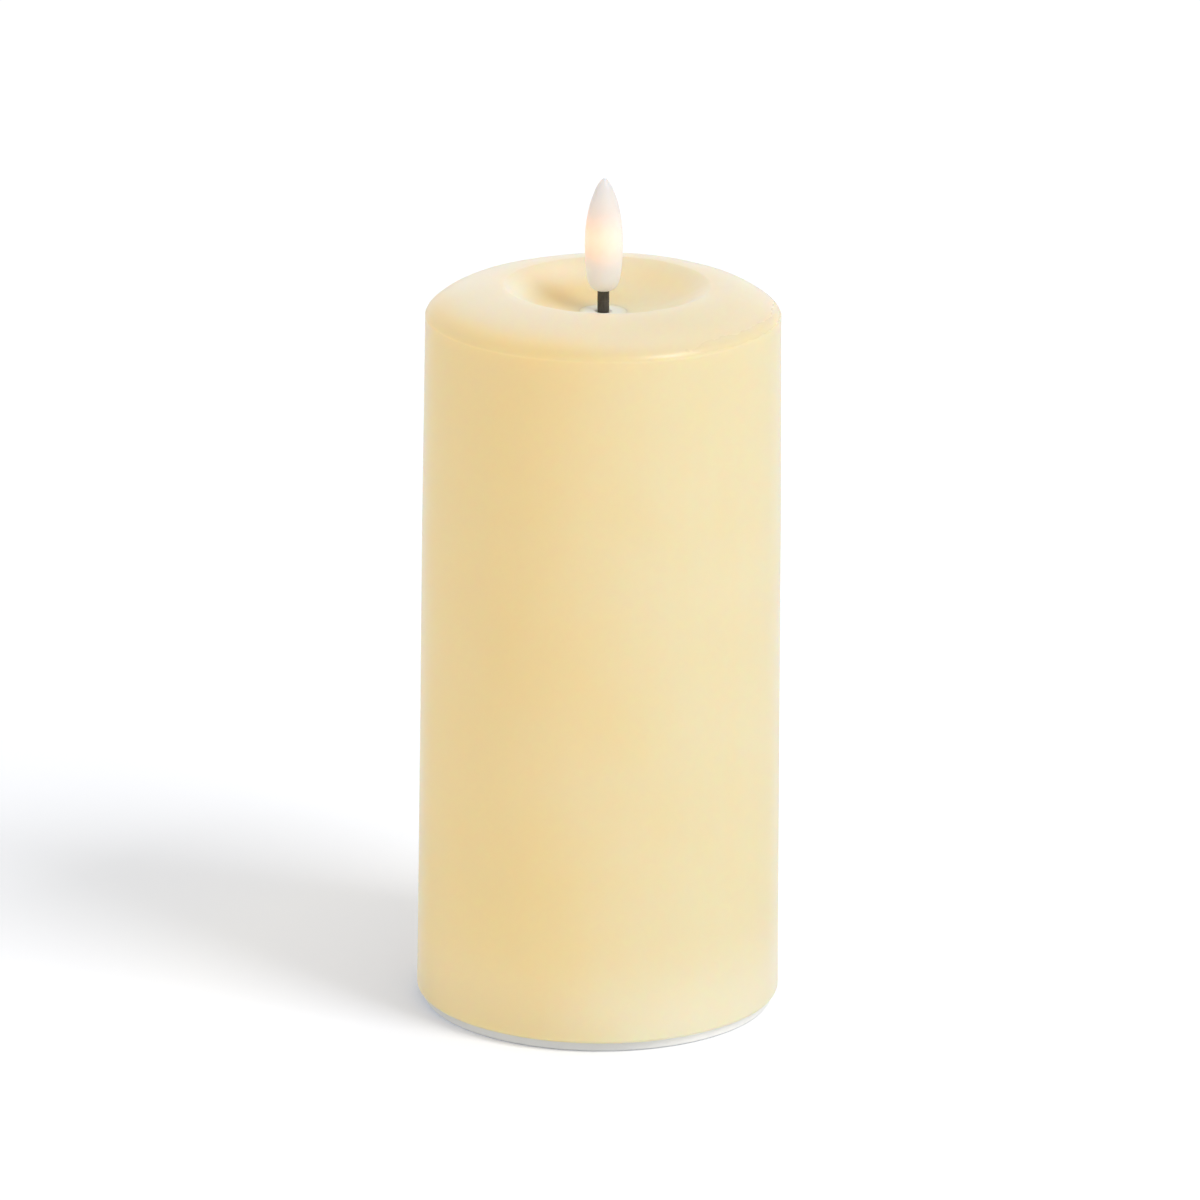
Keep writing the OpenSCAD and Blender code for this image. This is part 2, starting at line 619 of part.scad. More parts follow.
// From the board, up through the cover and in a loose wave to a lamp leg
function lamp_path(side) =
    let (end_z = splice_z - 0.3, start_z = cover_top + 2, span = end_z - start_z)
    smooth_path([
        [10.5, side * 1.9 + 1.5, board_top + 0.2],
        [10.4, side * 1.9 + 1.5, board_top + 1.6],
        [9.6, side * 1.7 + 1.3, board_top + 3.2],
        [7, side * 1.3 + 0.9, board_top + 4.6],
        [2.4, side * 0.9 + 0.3, board_top + 6.4],
        [0.2, side * 0.75, cover_z - 0.6],
        [0, side * 0.72, start_z],
        [1.2, side * 0.8, start_z + span * 0.14],
        [3.6, side * 0.85 + 0.8, start_z + span * 0.32],
        [2.2, side * 0.9 - 0.8, start_z + span * 0.52],
        [-2.4, side * 0.85 - 0.3, start_z + span * 0.7],
        [-1.8 + side * 0.2, side * 0.8, start_z + span * 0.85],
        [side * 0.9, side * 0.4, start_z + span * 0.95],
        [side * splice_x, 0, end_z - 2.2],
        [side * splice_x, 0, end_z]], 5);

module lamp_wire(side) wire(lamp_path(side), 0.52, [0.15, 1, 0.05]);
module lamp_wire_red() color(wire_red) lamp_wire(1);
module lamp_wire_black() color(wire_black) lamp_wire(-1);

module splice_sleeves() color([0.1, 0.1, 0.1]) for (side = sides)
    translate([side * splice_x, 0, splice_z - 1.6]) difference() {
        cylinder(r = 0.85, h = 4.2, $fn = 32);
        translate([0, 0, -1]) cylinder(r = 0.62, h = 8, $fn = 32);
    }

// Four beads in the corner between the cover and the wax bore
glue_w = 2.9;
glue_h = 2.6;
glue_gap = 0.02;
module glue_beads() color([0.95, 0.93, 0.82]) for (a = [20:90:290]) rotate(a)
    rotate_extrude(angle = 34, $fn = 96) polygon(concat(
        [[bore_r - glue_gap, cover_top + glue_gap], [bore_r - glue_gap, cover_top + glue_h]],
        [for (t = [80:-20:20]) [bore_r - glue_w * cos(t), cover_top + glue_h * sin(t)]],
        [[bore_r - glue_w, cover_top + glue_gap]]));

// ---- nodes ---------------------------------------------------------------

wax_shell();
flame_bulb();
led_lamp();
led_legs();
wick_sleeve();
wick_collar();
collar_nut();
base_housing();
inner_cover();
cover_screws();
battery_door();
battery_1_can();
battery_1_label();
battery_2_can();
battery_2_label();
positive_terminal();
negative_terminal();
negative_spring();
bridge_contact();
bridge_spring();
circuit_board();
control_chip();
timer_crystal();
capacitor();
resistors();
board_screws();
switch_case();
switch_knob();
switch_board();
switch_screws();
battery_wire_red();
battery_wire_black();
switch_wires();
lamp_wire_red();
lamp_wire_black();
splice_sleeves();
glue_beads();
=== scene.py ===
import bpy
import json
import math
import numpy as np
from mathutils import Matrix, Vector, noise


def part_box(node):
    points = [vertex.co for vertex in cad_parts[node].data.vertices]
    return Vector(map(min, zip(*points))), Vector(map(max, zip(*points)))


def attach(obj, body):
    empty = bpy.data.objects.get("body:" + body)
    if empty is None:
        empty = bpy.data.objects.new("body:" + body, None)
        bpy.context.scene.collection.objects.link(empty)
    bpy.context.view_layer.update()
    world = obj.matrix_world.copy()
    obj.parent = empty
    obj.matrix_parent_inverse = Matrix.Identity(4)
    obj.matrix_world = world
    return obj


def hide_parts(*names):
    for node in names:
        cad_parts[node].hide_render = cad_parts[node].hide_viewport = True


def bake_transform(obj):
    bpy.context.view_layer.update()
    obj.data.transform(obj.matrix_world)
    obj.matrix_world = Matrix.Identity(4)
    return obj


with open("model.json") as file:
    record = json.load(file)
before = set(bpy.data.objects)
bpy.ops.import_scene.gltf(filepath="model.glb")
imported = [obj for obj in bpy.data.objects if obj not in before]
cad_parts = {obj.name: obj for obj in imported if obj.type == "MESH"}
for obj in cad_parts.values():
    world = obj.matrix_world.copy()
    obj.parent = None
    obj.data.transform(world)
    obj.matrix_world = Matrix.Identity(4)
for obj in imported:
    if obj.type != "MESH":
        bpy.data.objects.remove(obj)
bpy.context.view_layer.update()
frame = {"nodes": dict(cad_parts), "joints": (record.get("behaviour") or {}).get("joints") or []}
CAD = frame["nodes"]
scene = bpy.context.scene
MM = 0.001


# ------------------------------------------------------------------ helpers

def bx(node):
    """Lowest and highest corners of a CAD node, in millimetres."""
    lo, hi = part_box(node)
    return np.array(lo) / MM, np.array(hi) / MM


def smoothstep(t):
    t = np.clip(t, 0.0, 1.0)
    return t * t * (3 - 2 * t)


def make_mesh(name, verts, faces, smooth=True):
    me = bpy.data.meshes.new(name)
    me.from_pydata([tuple(float(c) * MM for c in v) for v in verts], [], faces)
    me.update()
    if smooth:
        me.polygons.foreach_set("use_smooth", [True] * len(me.polygons))
    ob = bpy.data.objects.new(name, me)
    scene.collection.objects.link(ob)
    return ob


def fillet(points, radii, steps=5):
    """Rounds the corners of a closed (r, z) outline. A radius of 0 keeps the corner."""
    out, n = [], len(points)
    for i in range(n):
        p0, p1, p2 = (np.array(points[j % n], float) for j in (i - 1, i, i + 1))
        rad = radii[i]
        if rad <= 0:
            out.append(tuple(p1))
            continue
        a, b = p0 - p1, p2 - p1
        la, lb = np.linalg.norm(a), np.linalg.norm(b)
        a, b = a / la, b / lb
        ang = math.acos(max(-1, min(1, float(a @ b))))
        d = min(rad / math.tan(ang / 2), la * 0.48, lb * 0.48)
        q0, q1 = p1 + a * d, p1 + b * d
        for s in range(steps + 1):
            t = s / steps
            out.append(tuple((1 - t) ** 2 * q0 + 2 * t * (1 - t) * p1 + t * t * q1))
    return out


def densify(points, step):
    """Splits the long sides of a closed outline."""
    out, n = [], len(points)
    for i in range(n):
        a, b = np.array(points[i], float), np.array(points[(i + 1) % n], float)
        k = max(1, int(math.ceil(np.linalg.norm(b - a) / step)))
        out += [tuple(a + (b - a) * j / k) for j in range(k)]
    return out


def lathe(name, outline, seg, centre=(0, 0), warp=None):
    """Turns a closed outline of (r, z) points, counter-clockwise in the r-z plane, round Z. Points with r = 0 become poles."""
    rings, verts = [], []
    for r, z in outline:
        if r < 1e-6:
            rings.append([len(verts)])
            verts.append((centre[0], centre[1], z))
            continue
        ids = []
        for j in range(seg):
            a = 2 * math.pi * j / seg
            rr, zz = (r, z) if warp is None else warp(r, z, a)
            ids.append(len(verts))
            verts.append((centre[0] + rr * math.cos(a), centre[1] + rr * math.sin(a), zz))
        rings.append(ids)
    faces, n = [], len(rings)
    for i in range(n):
        a, b = rings[i], rings[(i + 1) % n]
        if len(a) == 1 and len(b) == 1:
            continue
        for j in range(seg):
            k = (j + 1) % seg
            if len(a) == 1:
                faces.append((a[0], b[k], b[j]))
            elif len(b) == 1:
                faces.append((a[j], a[k], b[0]))
            else:
                faces.append((a[j], a[k], b[k], b[j]))
    return make_mesh(name, verts, faces)


def spline(knots, n):
    """The same smooth path as the CAD wires, n points to each span."""
    k = [np.array(p, float) for p in knots]
    out = []
    for i in range(len(k) - 1):
        a, b, c, d = k[max(i - 1, 0)], k[i], k[i + 1], k[min(i + 2, len(k) - 1)]
        for s in range(n):
            t = s / n
            out.append(0.5 * (2 * b + (c - a) * t + (2 * a - 5 * b + 4 * c - d) * t * t + (3 * b - a - 3 * c + d) * t ** 3))
    out.append(k[-1])
    return out


def tube(name, path, radius, sides=16, cap=0.35, join=None):
    """A round cord along a path, with rounded ends. radius may be a function of the position along the path from 0 to 1."""
    p = [np.array(q, float) for q in path]
    n = len(p)
    tan = []
    for i in range(n):
        t = p[min(i + 1, n - 1)] - p[max(i - 1, 0)]
        tan.append(t / np.linalg.norm(t))
    ref = np.array([0.0, 0.0, 1.0]) if abs(tan[0][2]) < 0.9 else np.array([1.0, 0.0, 0.0])
    u = np.cross(tan[0], ref)
    u /= np.linalg.norm(u)
    verts, rings = [], []

    def ring(c, u, v, r):
        ids = list(range(len(verts), len(verts) + sides))
        for j in range(sides):
            a = 2 * math.pi * j / sides
            verts.append(c + r * (math.cos(a) * u + math.sin(a) * v))
        rings.append(ids)

    for i in range(n):
        u = u - (u @ tan[i]) * tan[i]
        u /= np.linalg.norm(u)
        v = np.cross(tan[i], u)
        r = radius(i / (n - 1)) if callable(radius) else radius
        if i == 0 and cap > 0:
            ring(p[0], u, v, r * (1 - cap))
            ring(p[0] + tan[0] * r * cap * 0.3, u, v, r * (1 - cap * 0.3))
            ring(p[0] + tan[0] * r * cap, u, v, r)
        elif i == n - 1 and cap > 0:
            ring(p[i] - tan[i] * r * cap, u, v, r)
            ring(p[i] - tan[i] * r * cap * 0.3, u, v, r * (1 - cap * 0.3))
            ring(p[i], u, v, r * (1 - cap))
        else:
            ring(p[i], u, v, r)
    faces = [tuple(reversed(rings[0])), tuple(rings[-1])]
    for a, b in zip(rings, rings[1:]):
        faces += [(a[j], a[(j + 1) % sides], b[(j + 1) % sides], b[j]) for j in range(sides)]
    if join is not None:
        join.append((verts, faces))
        return None
    return make_mesh(name, verts, faces)


def joined(name, parts):
    """One object from several closed meshes."""
    verts, faces = [], []
    for v, f in parts:
        base = len(verts)
        verts += list(v)
        faces += [tuple(i + base for i in q) for q in f]
    return make_mesh(name, verts, faces)


# ---------------------------------------------------------------- materials

class Nodes:
    """A small builder for node materials, in object coordinates measured in millimetres."""

    def __init__(self, name):
        self.m = bpy.data.materials.new(name)
        self.m.use_nodes = True
        self.t = self.m.node_tree
        self.bsdf = next(n for n in self.t.nodes if n.type == "BSDF_PRINCIPLED")
        co = self.t.nodes.new("ShaderNodeTexCoord")
        sc = self.t.nodes.new("ShaderNodeVectorMath")
        sc.operation = "SCALE"
        sc.inputs["Scale"].default_value = 1000.0
        self.t.links.new(co.outputs["Object"], sc.inputs[0])
        self.co = sc.outputs[0]

    def link(self, a, b):
        self.t.links.new(a, b)

    def set(self, **kw):
        for k, v in kw.items():
            socket = self.bsdf.inputs[k.replace("_", " ")]
            if hasattr(v, "is_linked"):
                self.link(v, socket)
            else:
                socket.default_value = v
        return self

    def stretch(self, vec, scale, shift=(0, 0, 0)):
        n = self.t.nodes.new("ShaderNodeMapping")
        n.inputs["Scale"].default_value = scale
        n.inputs["Location"].default_value = shift
        self.link(vec, n.inputs["Vector"])
        return n.outputs[0]

    def noise(self, scale, detail=3.0, rough=0.5, vec=None, distort=0.0):
        n = self.t.nodes.new("ShaderNodeTexNoise")
        n.inputs["Scale"].default_value = scale
        n.inputs["Detail"].default_value = detail
        n.inputs["Roughness"].default_value = rough
        n.inputs["Distortion"].default_value = distort
        self.link(vec if vec is not None else self.co, n.inputs["Vector"])
        return n.outputs[0]

    def cells(self, scale, feature="F1", vec=None):
        n = self.t.nodes.new("ShaderNodeTexVoronoi")
        n.feature = feature
        n.inputs["Scale"].default_value = scale
        self.link(vec if vec is not None else self.co, n.inputs["Vector"])
        return n.outputs[0]

    def ramp(self, fac, stops, mode="LINEAR"):
        n = self.t.nodes.new("ShaderNodeValToRGB")
        n.color_ramp.interpolation = mode
        el = n.color_ramp.elements
        while len(el) < len(stops):
            el.new(0.5)
        for e, (p, c) in zip(el, stops):
            e.position = p
            e.color = (*c, 1.0) if hasattr(c, "__len__") else (c, c, c, 1.0)
        self.link(fac, n.inputs[0])
        return n.outputs[0]

    def maths(self, op, a, b=0.0, c=0.0, clamp=False):
        n = self.t.nodes.new("ShaderNodeMath")
        n.operation = op
        n.use_clamp = clamp
        for i, v in enumerate((a, b, c)):
            if hasattr(v, "is_linked"):
                self.link(v, n.inputs[i])
            else:
                n.inputs[i].default_value = v
        return n.outputs[0]

    def spread(self, value, lo, hi, to_lo=0.0, to_hi=1.0, smooth=True):
        n = self.t.nodes.new("ShaderNodeMapRange")
        n.interpolation_type = "SMOOTHSTEP" if smooth else "LINEAR"
        n.inputs["From Min"].default_value = lo
        n.inputs["From Max"].default_value = hi
        n.inputs["To Min"].default_value = to_lo
        n.inputs["To Max"].default_value = to_hi
        self.link(value, n.inputs["Value"])
        return n.outputs[0]

    def mix(self, fac, a, b, kind="MIX"):
        n = self.t.nodes.new("ShaderNodeMix")
        n.data_type = "RGBA"
        n.blend_type = kind
        for i, v in ((0, fac), (6, a), (7, b)):
            if hasattr(v, "is_linked"):
                self.link(v, n.inputs[i])
            elif i == 0:
                n.inputs[i].default_value = v
            else:
                n.inputs[i].default_value = (*v, 1.0) if hasattr(v, "__len__") else (v, v, v, 1.0)
        return n.outputs[2]

    def xyz(self):
        n = self.t.nodes.new("ShaderNodeSeparateXYZ")
        self.link(self.co, n.inputs[0])
        return n.outputs[0], n.outputs[1], n.outputs[2]

    def bump(self, height, distance_mm, strength=1.0, normal=None):
        n = self.t.nodes.new("ShaderNodeBump")
        n.inputs["Strength"].default_value = strength
        n.inputs["Distance"].default_value = distance_mm * MM
        self.link(height, n.inputs["Height"])
        if normal is not None:
            self.link(normal, n.inputs["Normal"])
        self.link(n.outputs[0], self.bsdf.inputs["Normal"])
        return n.outputs[0]


def srgb(r, g, b):
    """Linear colour from 0-255 screen values."""
    f = lambda c: c / 12.92 if c <= 0.04045 else ((c + 0.055) / 1.055) ** 2.4
    return tuple(f(v / 255) for v in (r, g, b))


def wax_material():
    n = Nodes("ivory_wax")
    x, y, z = n.xyz()
    cloud = n.noise(0.035, 4, 0.55, distort=0.4)
    streak = n.noise(1.0, 3, 0.6, n.stretch(n.co, (0.16, 0.16, 0.012)))
    fine = n.noise(0.9, 3, 0.6)
    # painted light and shade: the side towards the key light (+x) is painted paler and the far side deeper, with a
    # cloudy border
    radius = n.maths("SQRT", n.maths("ADD", n.maths("MULTIPLY", x, x), n.maths("MULTIPLY", y, y)))
    side = n.maths("DIVIDE", x, n.maths("MAXIMUM", radius, 24.0))
    side = n.maths("ADD", side, n.maths("MULTIPLY", n.maths("SUBTRACT", cloud, 0.5), 0.5))
    pale = n.spread(side, -0.55, 0.65)
    painted_shade_col = n.mix(n.ramp(cloud, [(0.32, 0.0), (0.68, 1.0)]), WAX_PAINTED_SHADE_SIDE_A, WAX_PAINTED_SHADE_SIDE_B)
    light = n.mix(n.ramp(cloud, [(0.32, 0.0), (0.68, 1.0)]), WAX_PAINTED_LIGHT_SIDE_C, WAX_PAINTED_LIGHT_SIDE_D)
    col = n.mix(pale, painted_shade_col, light)
    col = n.mix(n.maths("MULTIPLY", n.ramp(streak, [(0.35, 0.0), (0.75, 1.0)]), 0.25), col, WAX_E)
    col = n.mix(n.maths("MULTIPLY", n.ramp(fine, [(0.3, 0.0), (0.7, 1.0)]), 0.10), col, WAX_E)
    # painted light: the wax is painted paler towards the foot, most on the side the key light falls on
    foot = n.spread(z, 2.0, 24.0, 1.0, 0.0)
    col = n.mix(n.maths("MULTIPLY", foot, n.maths("ADD", n.maths("MULTIPLY", pale, 0.45), 0.2)), col, WAX_FOOT_PAINTED_LIGHT)
    # painted shade: on the side away from the key light the wax is painted darker again just above the foot
    low = n.maths("MULTIPLY", n.spread(z, 3.0, 16.0, 1.0, 0.0), n.maths("SUBTRACT", 1.0, pale))
    col = n.mix(n.maths("MULTIPLY", low, 0.42), col, WAX_LOW_PAINTED_SHADE)
    # painted sheen: the rim, shoulder and bowl are painted paler, the lit side and the far side in different tints
    top = n.spread(n.maths("ADD", z, n.maths("MULTIPLY", pale, 2.5)), BODY_TOP - 4.8, BODY_TOP - 0.6)
    col = n.mix(n.maths("MULTIPLY", top, 0.88), col, n.mix(pale, WAX_CREST_PAINTED_SHEEN, WAX_TOP_PAINTED_SHEEN))
    # painted light and shade in the bowl: paler on the far side, where the bulb's shadow falls, deeper on the lit side,
    # whose wall faces away from the key light
    painted_bowl_mask = n.maths("MULTIPLY", top, n.spread(radius, 17.0, 21.5, 1.0, 0.0))
    col = n.mix(n.maths("MULTIPLY", painted_bowl_mask, 0.8), col, n.mix(pale, WAX_BOWL_PAINTED_LIGHT, WAX_BOWL_PAINTED_SHADE))
    rough = n.maths("ADD", n.maths("MULTIPLY", n.noise(0.12, 4, 0.6), 0.08), n.maths("SUBTRACT", 0.34, n.maths("MULTIPLY", top, 0.08)))
    # the seam's edge is pressed smooth and takes a crisp highlight
    seam = n.maths("MULTIPLY", n.spread(z, SEAM_AT - 0.2, SEAM_AT + 0.3), n.spread(z, SEAM_AT + 0.7, SEAM_AT + 3.0, 1.0, 0.0))
    seam = n.maths("MULTIPLY", seam, n.spread(radius, 26.0, 30.0))
    rough = n.maths("SUBTRACT", rough, n.maths("MULTIPLY", seam, 0.07))
    # painted shade: the lip band is painted deeper, less so on the lit side, to hold down its brightness
    col = n.mix(n.maths("MULTIPLY", seam, n.maths("SUBTRACT", 0.8, n.maths("MULTIPLY", pale, 0.4))), col, n.mix(pale, WAX_LIP_PAINTED_SHADE, WAX_LIP_PAINTED_SHADE_2))
    # painted sheen: seen edge-on the wax is painted paler, standing in for the reflection of the white surroundings
    edge = n.t.nodes.new("ShaderNodeLayerWeight")
    edge.inputs["Blend"].default_value = 0.5
    col = n.mix(n.maths("MULTIPLY", n.spread(edge.outputs["Facing"], 0.62, 1.0), 0.55), col, WAX_EDGE_PAINTED_SHEEN)
    n.set(Base_Color=col, Roughness=rough, IOR=1.45)
    n.bsdf.inputs["Subsurface Weight"].default_value = 1.0
    n.bsdf.inputs["Subsurface Radius"].default_value = (1.0, 0.62, 0.30)
    n.bsdf.inputs["Subsurface Scale"].default_value = 3.2 * MM
    n.bsdf.inputs["Specular IOR Level"].default_value = 0.5
    pits = n.ramp(n.cells(0.42), [(0.0, 0.0), (0.06, 1.0)])
    broad = n.noise(0.07, 2, 0.5)
    grain = n.noise(2.6, 4, 0.6)
    h = n.maths("ADD", n.maths("MULTIPLY", broad, 0.9), n.maths("MULTIPLY", grain, 0.04))
    h = n.maths("ADD", h, n.maths("MULTIPLY", streak, 0.05))
    h = n.maths("ADD", h, n.maths("MULTIPLY", pits, 0.012))
    n.bump(h, 0.30, 0.35)
    return n.m


# wax tints, linear: the far side's painted shade and its cloud, the lit side's painted light and its cloud, streaks,
# painted light at the foot, painted shade above it, painted sheen on the top and crest, painted shade and light in the
# bowl, painted sheen at grazing edges, painted shade on the lip
WAX_PAINTED_SHADE_SIDE_A = srgb(243, 217, 157)
WAX_PAINTED_SHADE_SIDE_B = srgb(244, 219, 161)
WAX_PAINTED_LIGHT_SIDE_C = srgb(235, 222, 179)
WAX_PAINTED_LIGHT_SIDE_D = srgb(236, 224, 185)
WAX_E = srgb(239, 217, 166)
WAX_FOOT_PAINTED_LIGHT = srgb(242, 234, 211)
WAX_LOW_PAINTED_SHADE = srgb(226, 206, 156)
WAX_TOP_PAINTED_SHEEN = srgb(237, 223, 190)
WAX_CREST_PAINTED_SHEEN = srgb(240, 228, 201)
WAX_BOWL_PAINTED_SHADE = srgb(244, 224, 174)
WAX_BOWL_PAINTED_LIGHT = srgb(248, 233, 202)
WAX_EDGE_PAINTED_SHEEN = srgb(249, 240, 220)
WAX_LIP_PAINTED_SHADE = srgb(232, 209, 153)
WAX_LIP_PAINTED_SHADE_2 = srgb(224, 208, 165)
BODY_TOP = bx("wax_shell")[1][2]
SEAM_AT = BODY_TOP - 6.0


def bulb_material():
    n = Nodes("milky_bulb")
    x, y, z = n.xyz()
    dz = n.maths("MULTIPLY", n.maths("SUBTRACT", z, LAMP_GLOW_Z), 0.15)
    # the glow falls off faster towards the wick
    dz = n.maths("ADD", n.maths("ABSOLUTE", dz), n.maths("MULTIPLY", n.maths("MAXIMUM", n.maths("SUBTRACT", LAMP_GLOW_Z, z), 0.0), 0.05))
    glow = n.maths("POWER", 2.718, n.maths("MULTIPLY", n.maths("MULTIPLY", dz, dz), -1.0))
    dz2 = n.maths("MULTIPLY", n.maths("SUBTRACT", z, LAMP_GLOW_Z), 0.30)
    core = n.maths("POWER", 2.718, n.maths("MULTIPLY", n.maths("MULTIPLY", dz2, dz2), -1.0))
    milk = n.noise(0.25, 3, 0.5)
    # painted light: the base colour is painted peach where the lamp glows
    lit = n.mix(n.ramp(milk, [(0.3, 0.0), (0.7, 1.0)]), srgb(246, 222, 198), srgb(248, 225, 203))
    plain = n.mix(n.ramp(milk, [(0.3, 0.0), (0.7, 1.0)]), srgb(232, 231, 231), srgb(237, 236, 236))
    # painted shade: the plain moulding is painted darker towards the tip
    plain = n.mix(n.spread(z, LAMP_GLOW_Z, LAMP_GLOW_Z + 10.0), plain, srgb(226, 223, 221))
    # painted light and shade: the glow's peach is painted on more strongly on the side away from the key light than on
    # the lit side
    warm = n.spread(x, -2.5, 3.5, 1.0, 0.35, False)
    n.set(Base_Color=n.mix(n.maths("MULTIPLY", glow, warm), plain, lit), Roughness=0.40, IOR=1.46)
    n.bsdf.inputs["Subsurface Weight"].default_value = 0.7
    n.bsdf.inputs["Subsurface Radius"].default_value = (1.0, 0.8, 0.6)
    n.bsdf.inputs["Subsurface Scale"].default_value = 1.6 * MM
    # painted light and shade: the glow is made stronger and warmer on the side away from the key light and whiter on
    # the lit side
    side = n.spread(x, -3.0, 3.0, 1.25, 0.80, False)
    ember = n.mix(core, (1.0, 0.40, 0.15), (1.0, 0.80, 0.56))
    n.set(Emission_Color=n.mix(n.spread(x, -1.0, 3.5), ember, (1.0, 0.88, 0.74)))
    power = n.maths("ADD", n.maths("MULTIPLY", glow, 0.10), n.maths("MULTIPLY", core, 0.06))
    # the lens sees the glow at the film's limit; the wax round it gets the whole of it
    path = n.t.nodes.new("ShaderNodeLightPath")
    full = n.maths("ADD", n.maths("MULTIPLY", n.maths("SUBTRACT", 1.0, path.outputs["Is Camera Ray"]), 2.4), 1.0)
    n.set(Emission_Strength=n.maths("MULTIPLY", n.maths("MULTIPLY", power, side), full))
    h = n.maths("ADD", n.noise(0.9, 3, 0.6), n.maths("MULTIPLY", n.noise(4.0, 2, 0.5), 0.3))
    n.bump(h, 0.05, 0.35)
    # the milky moulding lets part of the light through, so its shadow is pale and warm
    clear = n.t.nodes.new("ShaderNodeBsdfTransparent")
    clear.inputs["Color"].default_value = (0.96, 0.86, 0.70, 1)
    both = n.t.nodes.new("ShaderNodeMixShader")
    out = next(q for q in n.t.nodes if q.type == "OUTPUT_MATERIAL")
    n.link(n.maths("MULTIPLY", path.outputs["Is Shadow Ray"], 0.95), both.inputs[0])
    n.link(n.bsdf.outputs[0], both.inputs[1])
    n.link(clear.outputs[0], both.inputs[2])
    n.link(both.outputs[0], out.inputs["Surface"])
    return n.m


def sleeve_material():
    n = Nodes("wick_sleeving")
    a = n.noise(1.6, 4, 0.6, n.stretch(n.co, (1, 1, 0.35)))
    b = n.noise(9.0, 3, 0.6)
    col = n.mix(n.ramp(a, [(0.35, 0.0), (0.7, 1.0)]), srgb(44, 41, 37), srgb(72, 68, 60))
    rough = n.maths("ADD", n.maths("MULTIPLY", b, 0.25), 0.38)
    n.set(Base_Color=col, Roughness=rough)
    h = n.maths("ADD", n.maths("MULTIPLY", a, 1.0), n.maths("MULTIPLY", b, 0.25))
    n.bump(h, 0.12, 0.7)
    return n.m


def plastic(name, colour, rough=0.5, grain=0.02, grain_scale=7.0, sss=0.0, tint=0.04, painted_light_rim_r=0.0):
    n = Nodes(name)
    cloud = n.noise(0.05, 3, 0.5)
    dark = tuple(c * (1 - tint) for c in colour)
    dirt = n.noise(0.5, 5, 0.65)
    col = n.mix(n.ramp(cloud, [(0.35, 0.0), (0.65, 1.0)]), dark, colour)
    if painted_light_rim_r:
        # painted light: the ring's outer face is painted brighter on the side the key light falls on
        x, y, z = n.xyz()
        radius = n.maths("SQRT", n.maths("ADD", n.maths("MULTIPLY", x, x), n.maths("MULTIPLY", y, y)))
        painted_light_mask = n.maths("MULTIPLY", n.spread(radius, painted_light_rim_r - 0.3, painted_light_rim_r - 0.05), n.spread(x, 2.0, 24.0))
        col = n.mix(painted_light_mask, col, srgb(250, 250, 248))
    col = n.mix(n.maths("MULTIPLY", n.ramp(dirt, [(0.45, 0.0), (0.8, 1.0)]), 0.12), col, tuple(c * 0.86 for c in colour))
    g = n.noise(grain_scale, 3, 0.6)
    r = n.maths("ADD", n.maths("MULTIPLY", n.noise(0.3, 3, 0.6), 0.14), rough - 0.07)
    n.set(Base_Color=col, Roughness=r, IOR=1.5)
    if sss:
        n.bsdf.inputs["Subsurface Weight"].default_value = sss
        n.bsdf.inputs["Subsurface Radius"].default_value = (1.0, 0.9, 0.8)
        n.bsdf.inputs["Subsurface Scale"].default_value = 1.0 * MM
    n.bump(g, grain, 0.8)
    return n.m


def collar_material():
    """White moulding under a film of wax that thickens towards its edge."""
    n = Nodes("collar_white")
    x, y, z = n.xyz()
    radius = n.maths("SQRT", n.maths("ADD", n.maths("MULTIPLY", x, x), n.maths("MULTIPLY", y, y)))
    patchy = n.noise(0.6, 3, 0.6)
    edge = n.spread(n.maths("ADD", radius, n.maths("MULTIPLY", n.maths("SUBTRACT", patchy, 0.5), 1.2)), 3.0, 4.6)
    col = n.mix(n.ramp(patchy, [(0.35, 0.0), (0.65, 1.0)]), srgb(244, 238, 222), srgb(246, 241, 228))
    col = n.mix(n.maths("MULTIPLY", edge, 0.85), col, srgb(246, 231, 192))
    n.set(Base_Color=col, Roughness=n.maths("ADD", n.maths("MULTIPLY", patchy, 0.12), 0.34), IOR=1.5)
    n.bsdf.inputs["Subsurface Weight"].default_value = 0.8
    n.bsdf.inputs["Subsurface Radius"].default_value = (1.0, 0.8, 0.55)
    n.bsdf.inputs["Subsurface Scale"].default_value = 1.6 * MM
    n.bump(n.noise(1.4, 3, 0.6), 0.04, 0.5)
    return n.m


def metal(name, colour, rough=0.28, brush=None, dull=0.10):
    n = Nodes(name)
    stain = n.noise(0.8, 5, 0.65)
    col = n.mix(n.ramp(stain, [(0.4, 0.0), (0.75, 1.0)]), colour, tuple(c * (1 - 1.6 * dull) for c in colour))
    vec = n.stretch(n.co, brush) if brush else n.co
    lines = n.noise(3.0, 4, 0.7, vec)
    r = n.maths("ADD", n.maths("MULTIPLY", lines, 0.22), rough - 0.11)
    n.set(Base_Color=col, Roughness=r, Metallic=1.0)
    n.bump(lines, 0.02, 0.5)
    return n.m


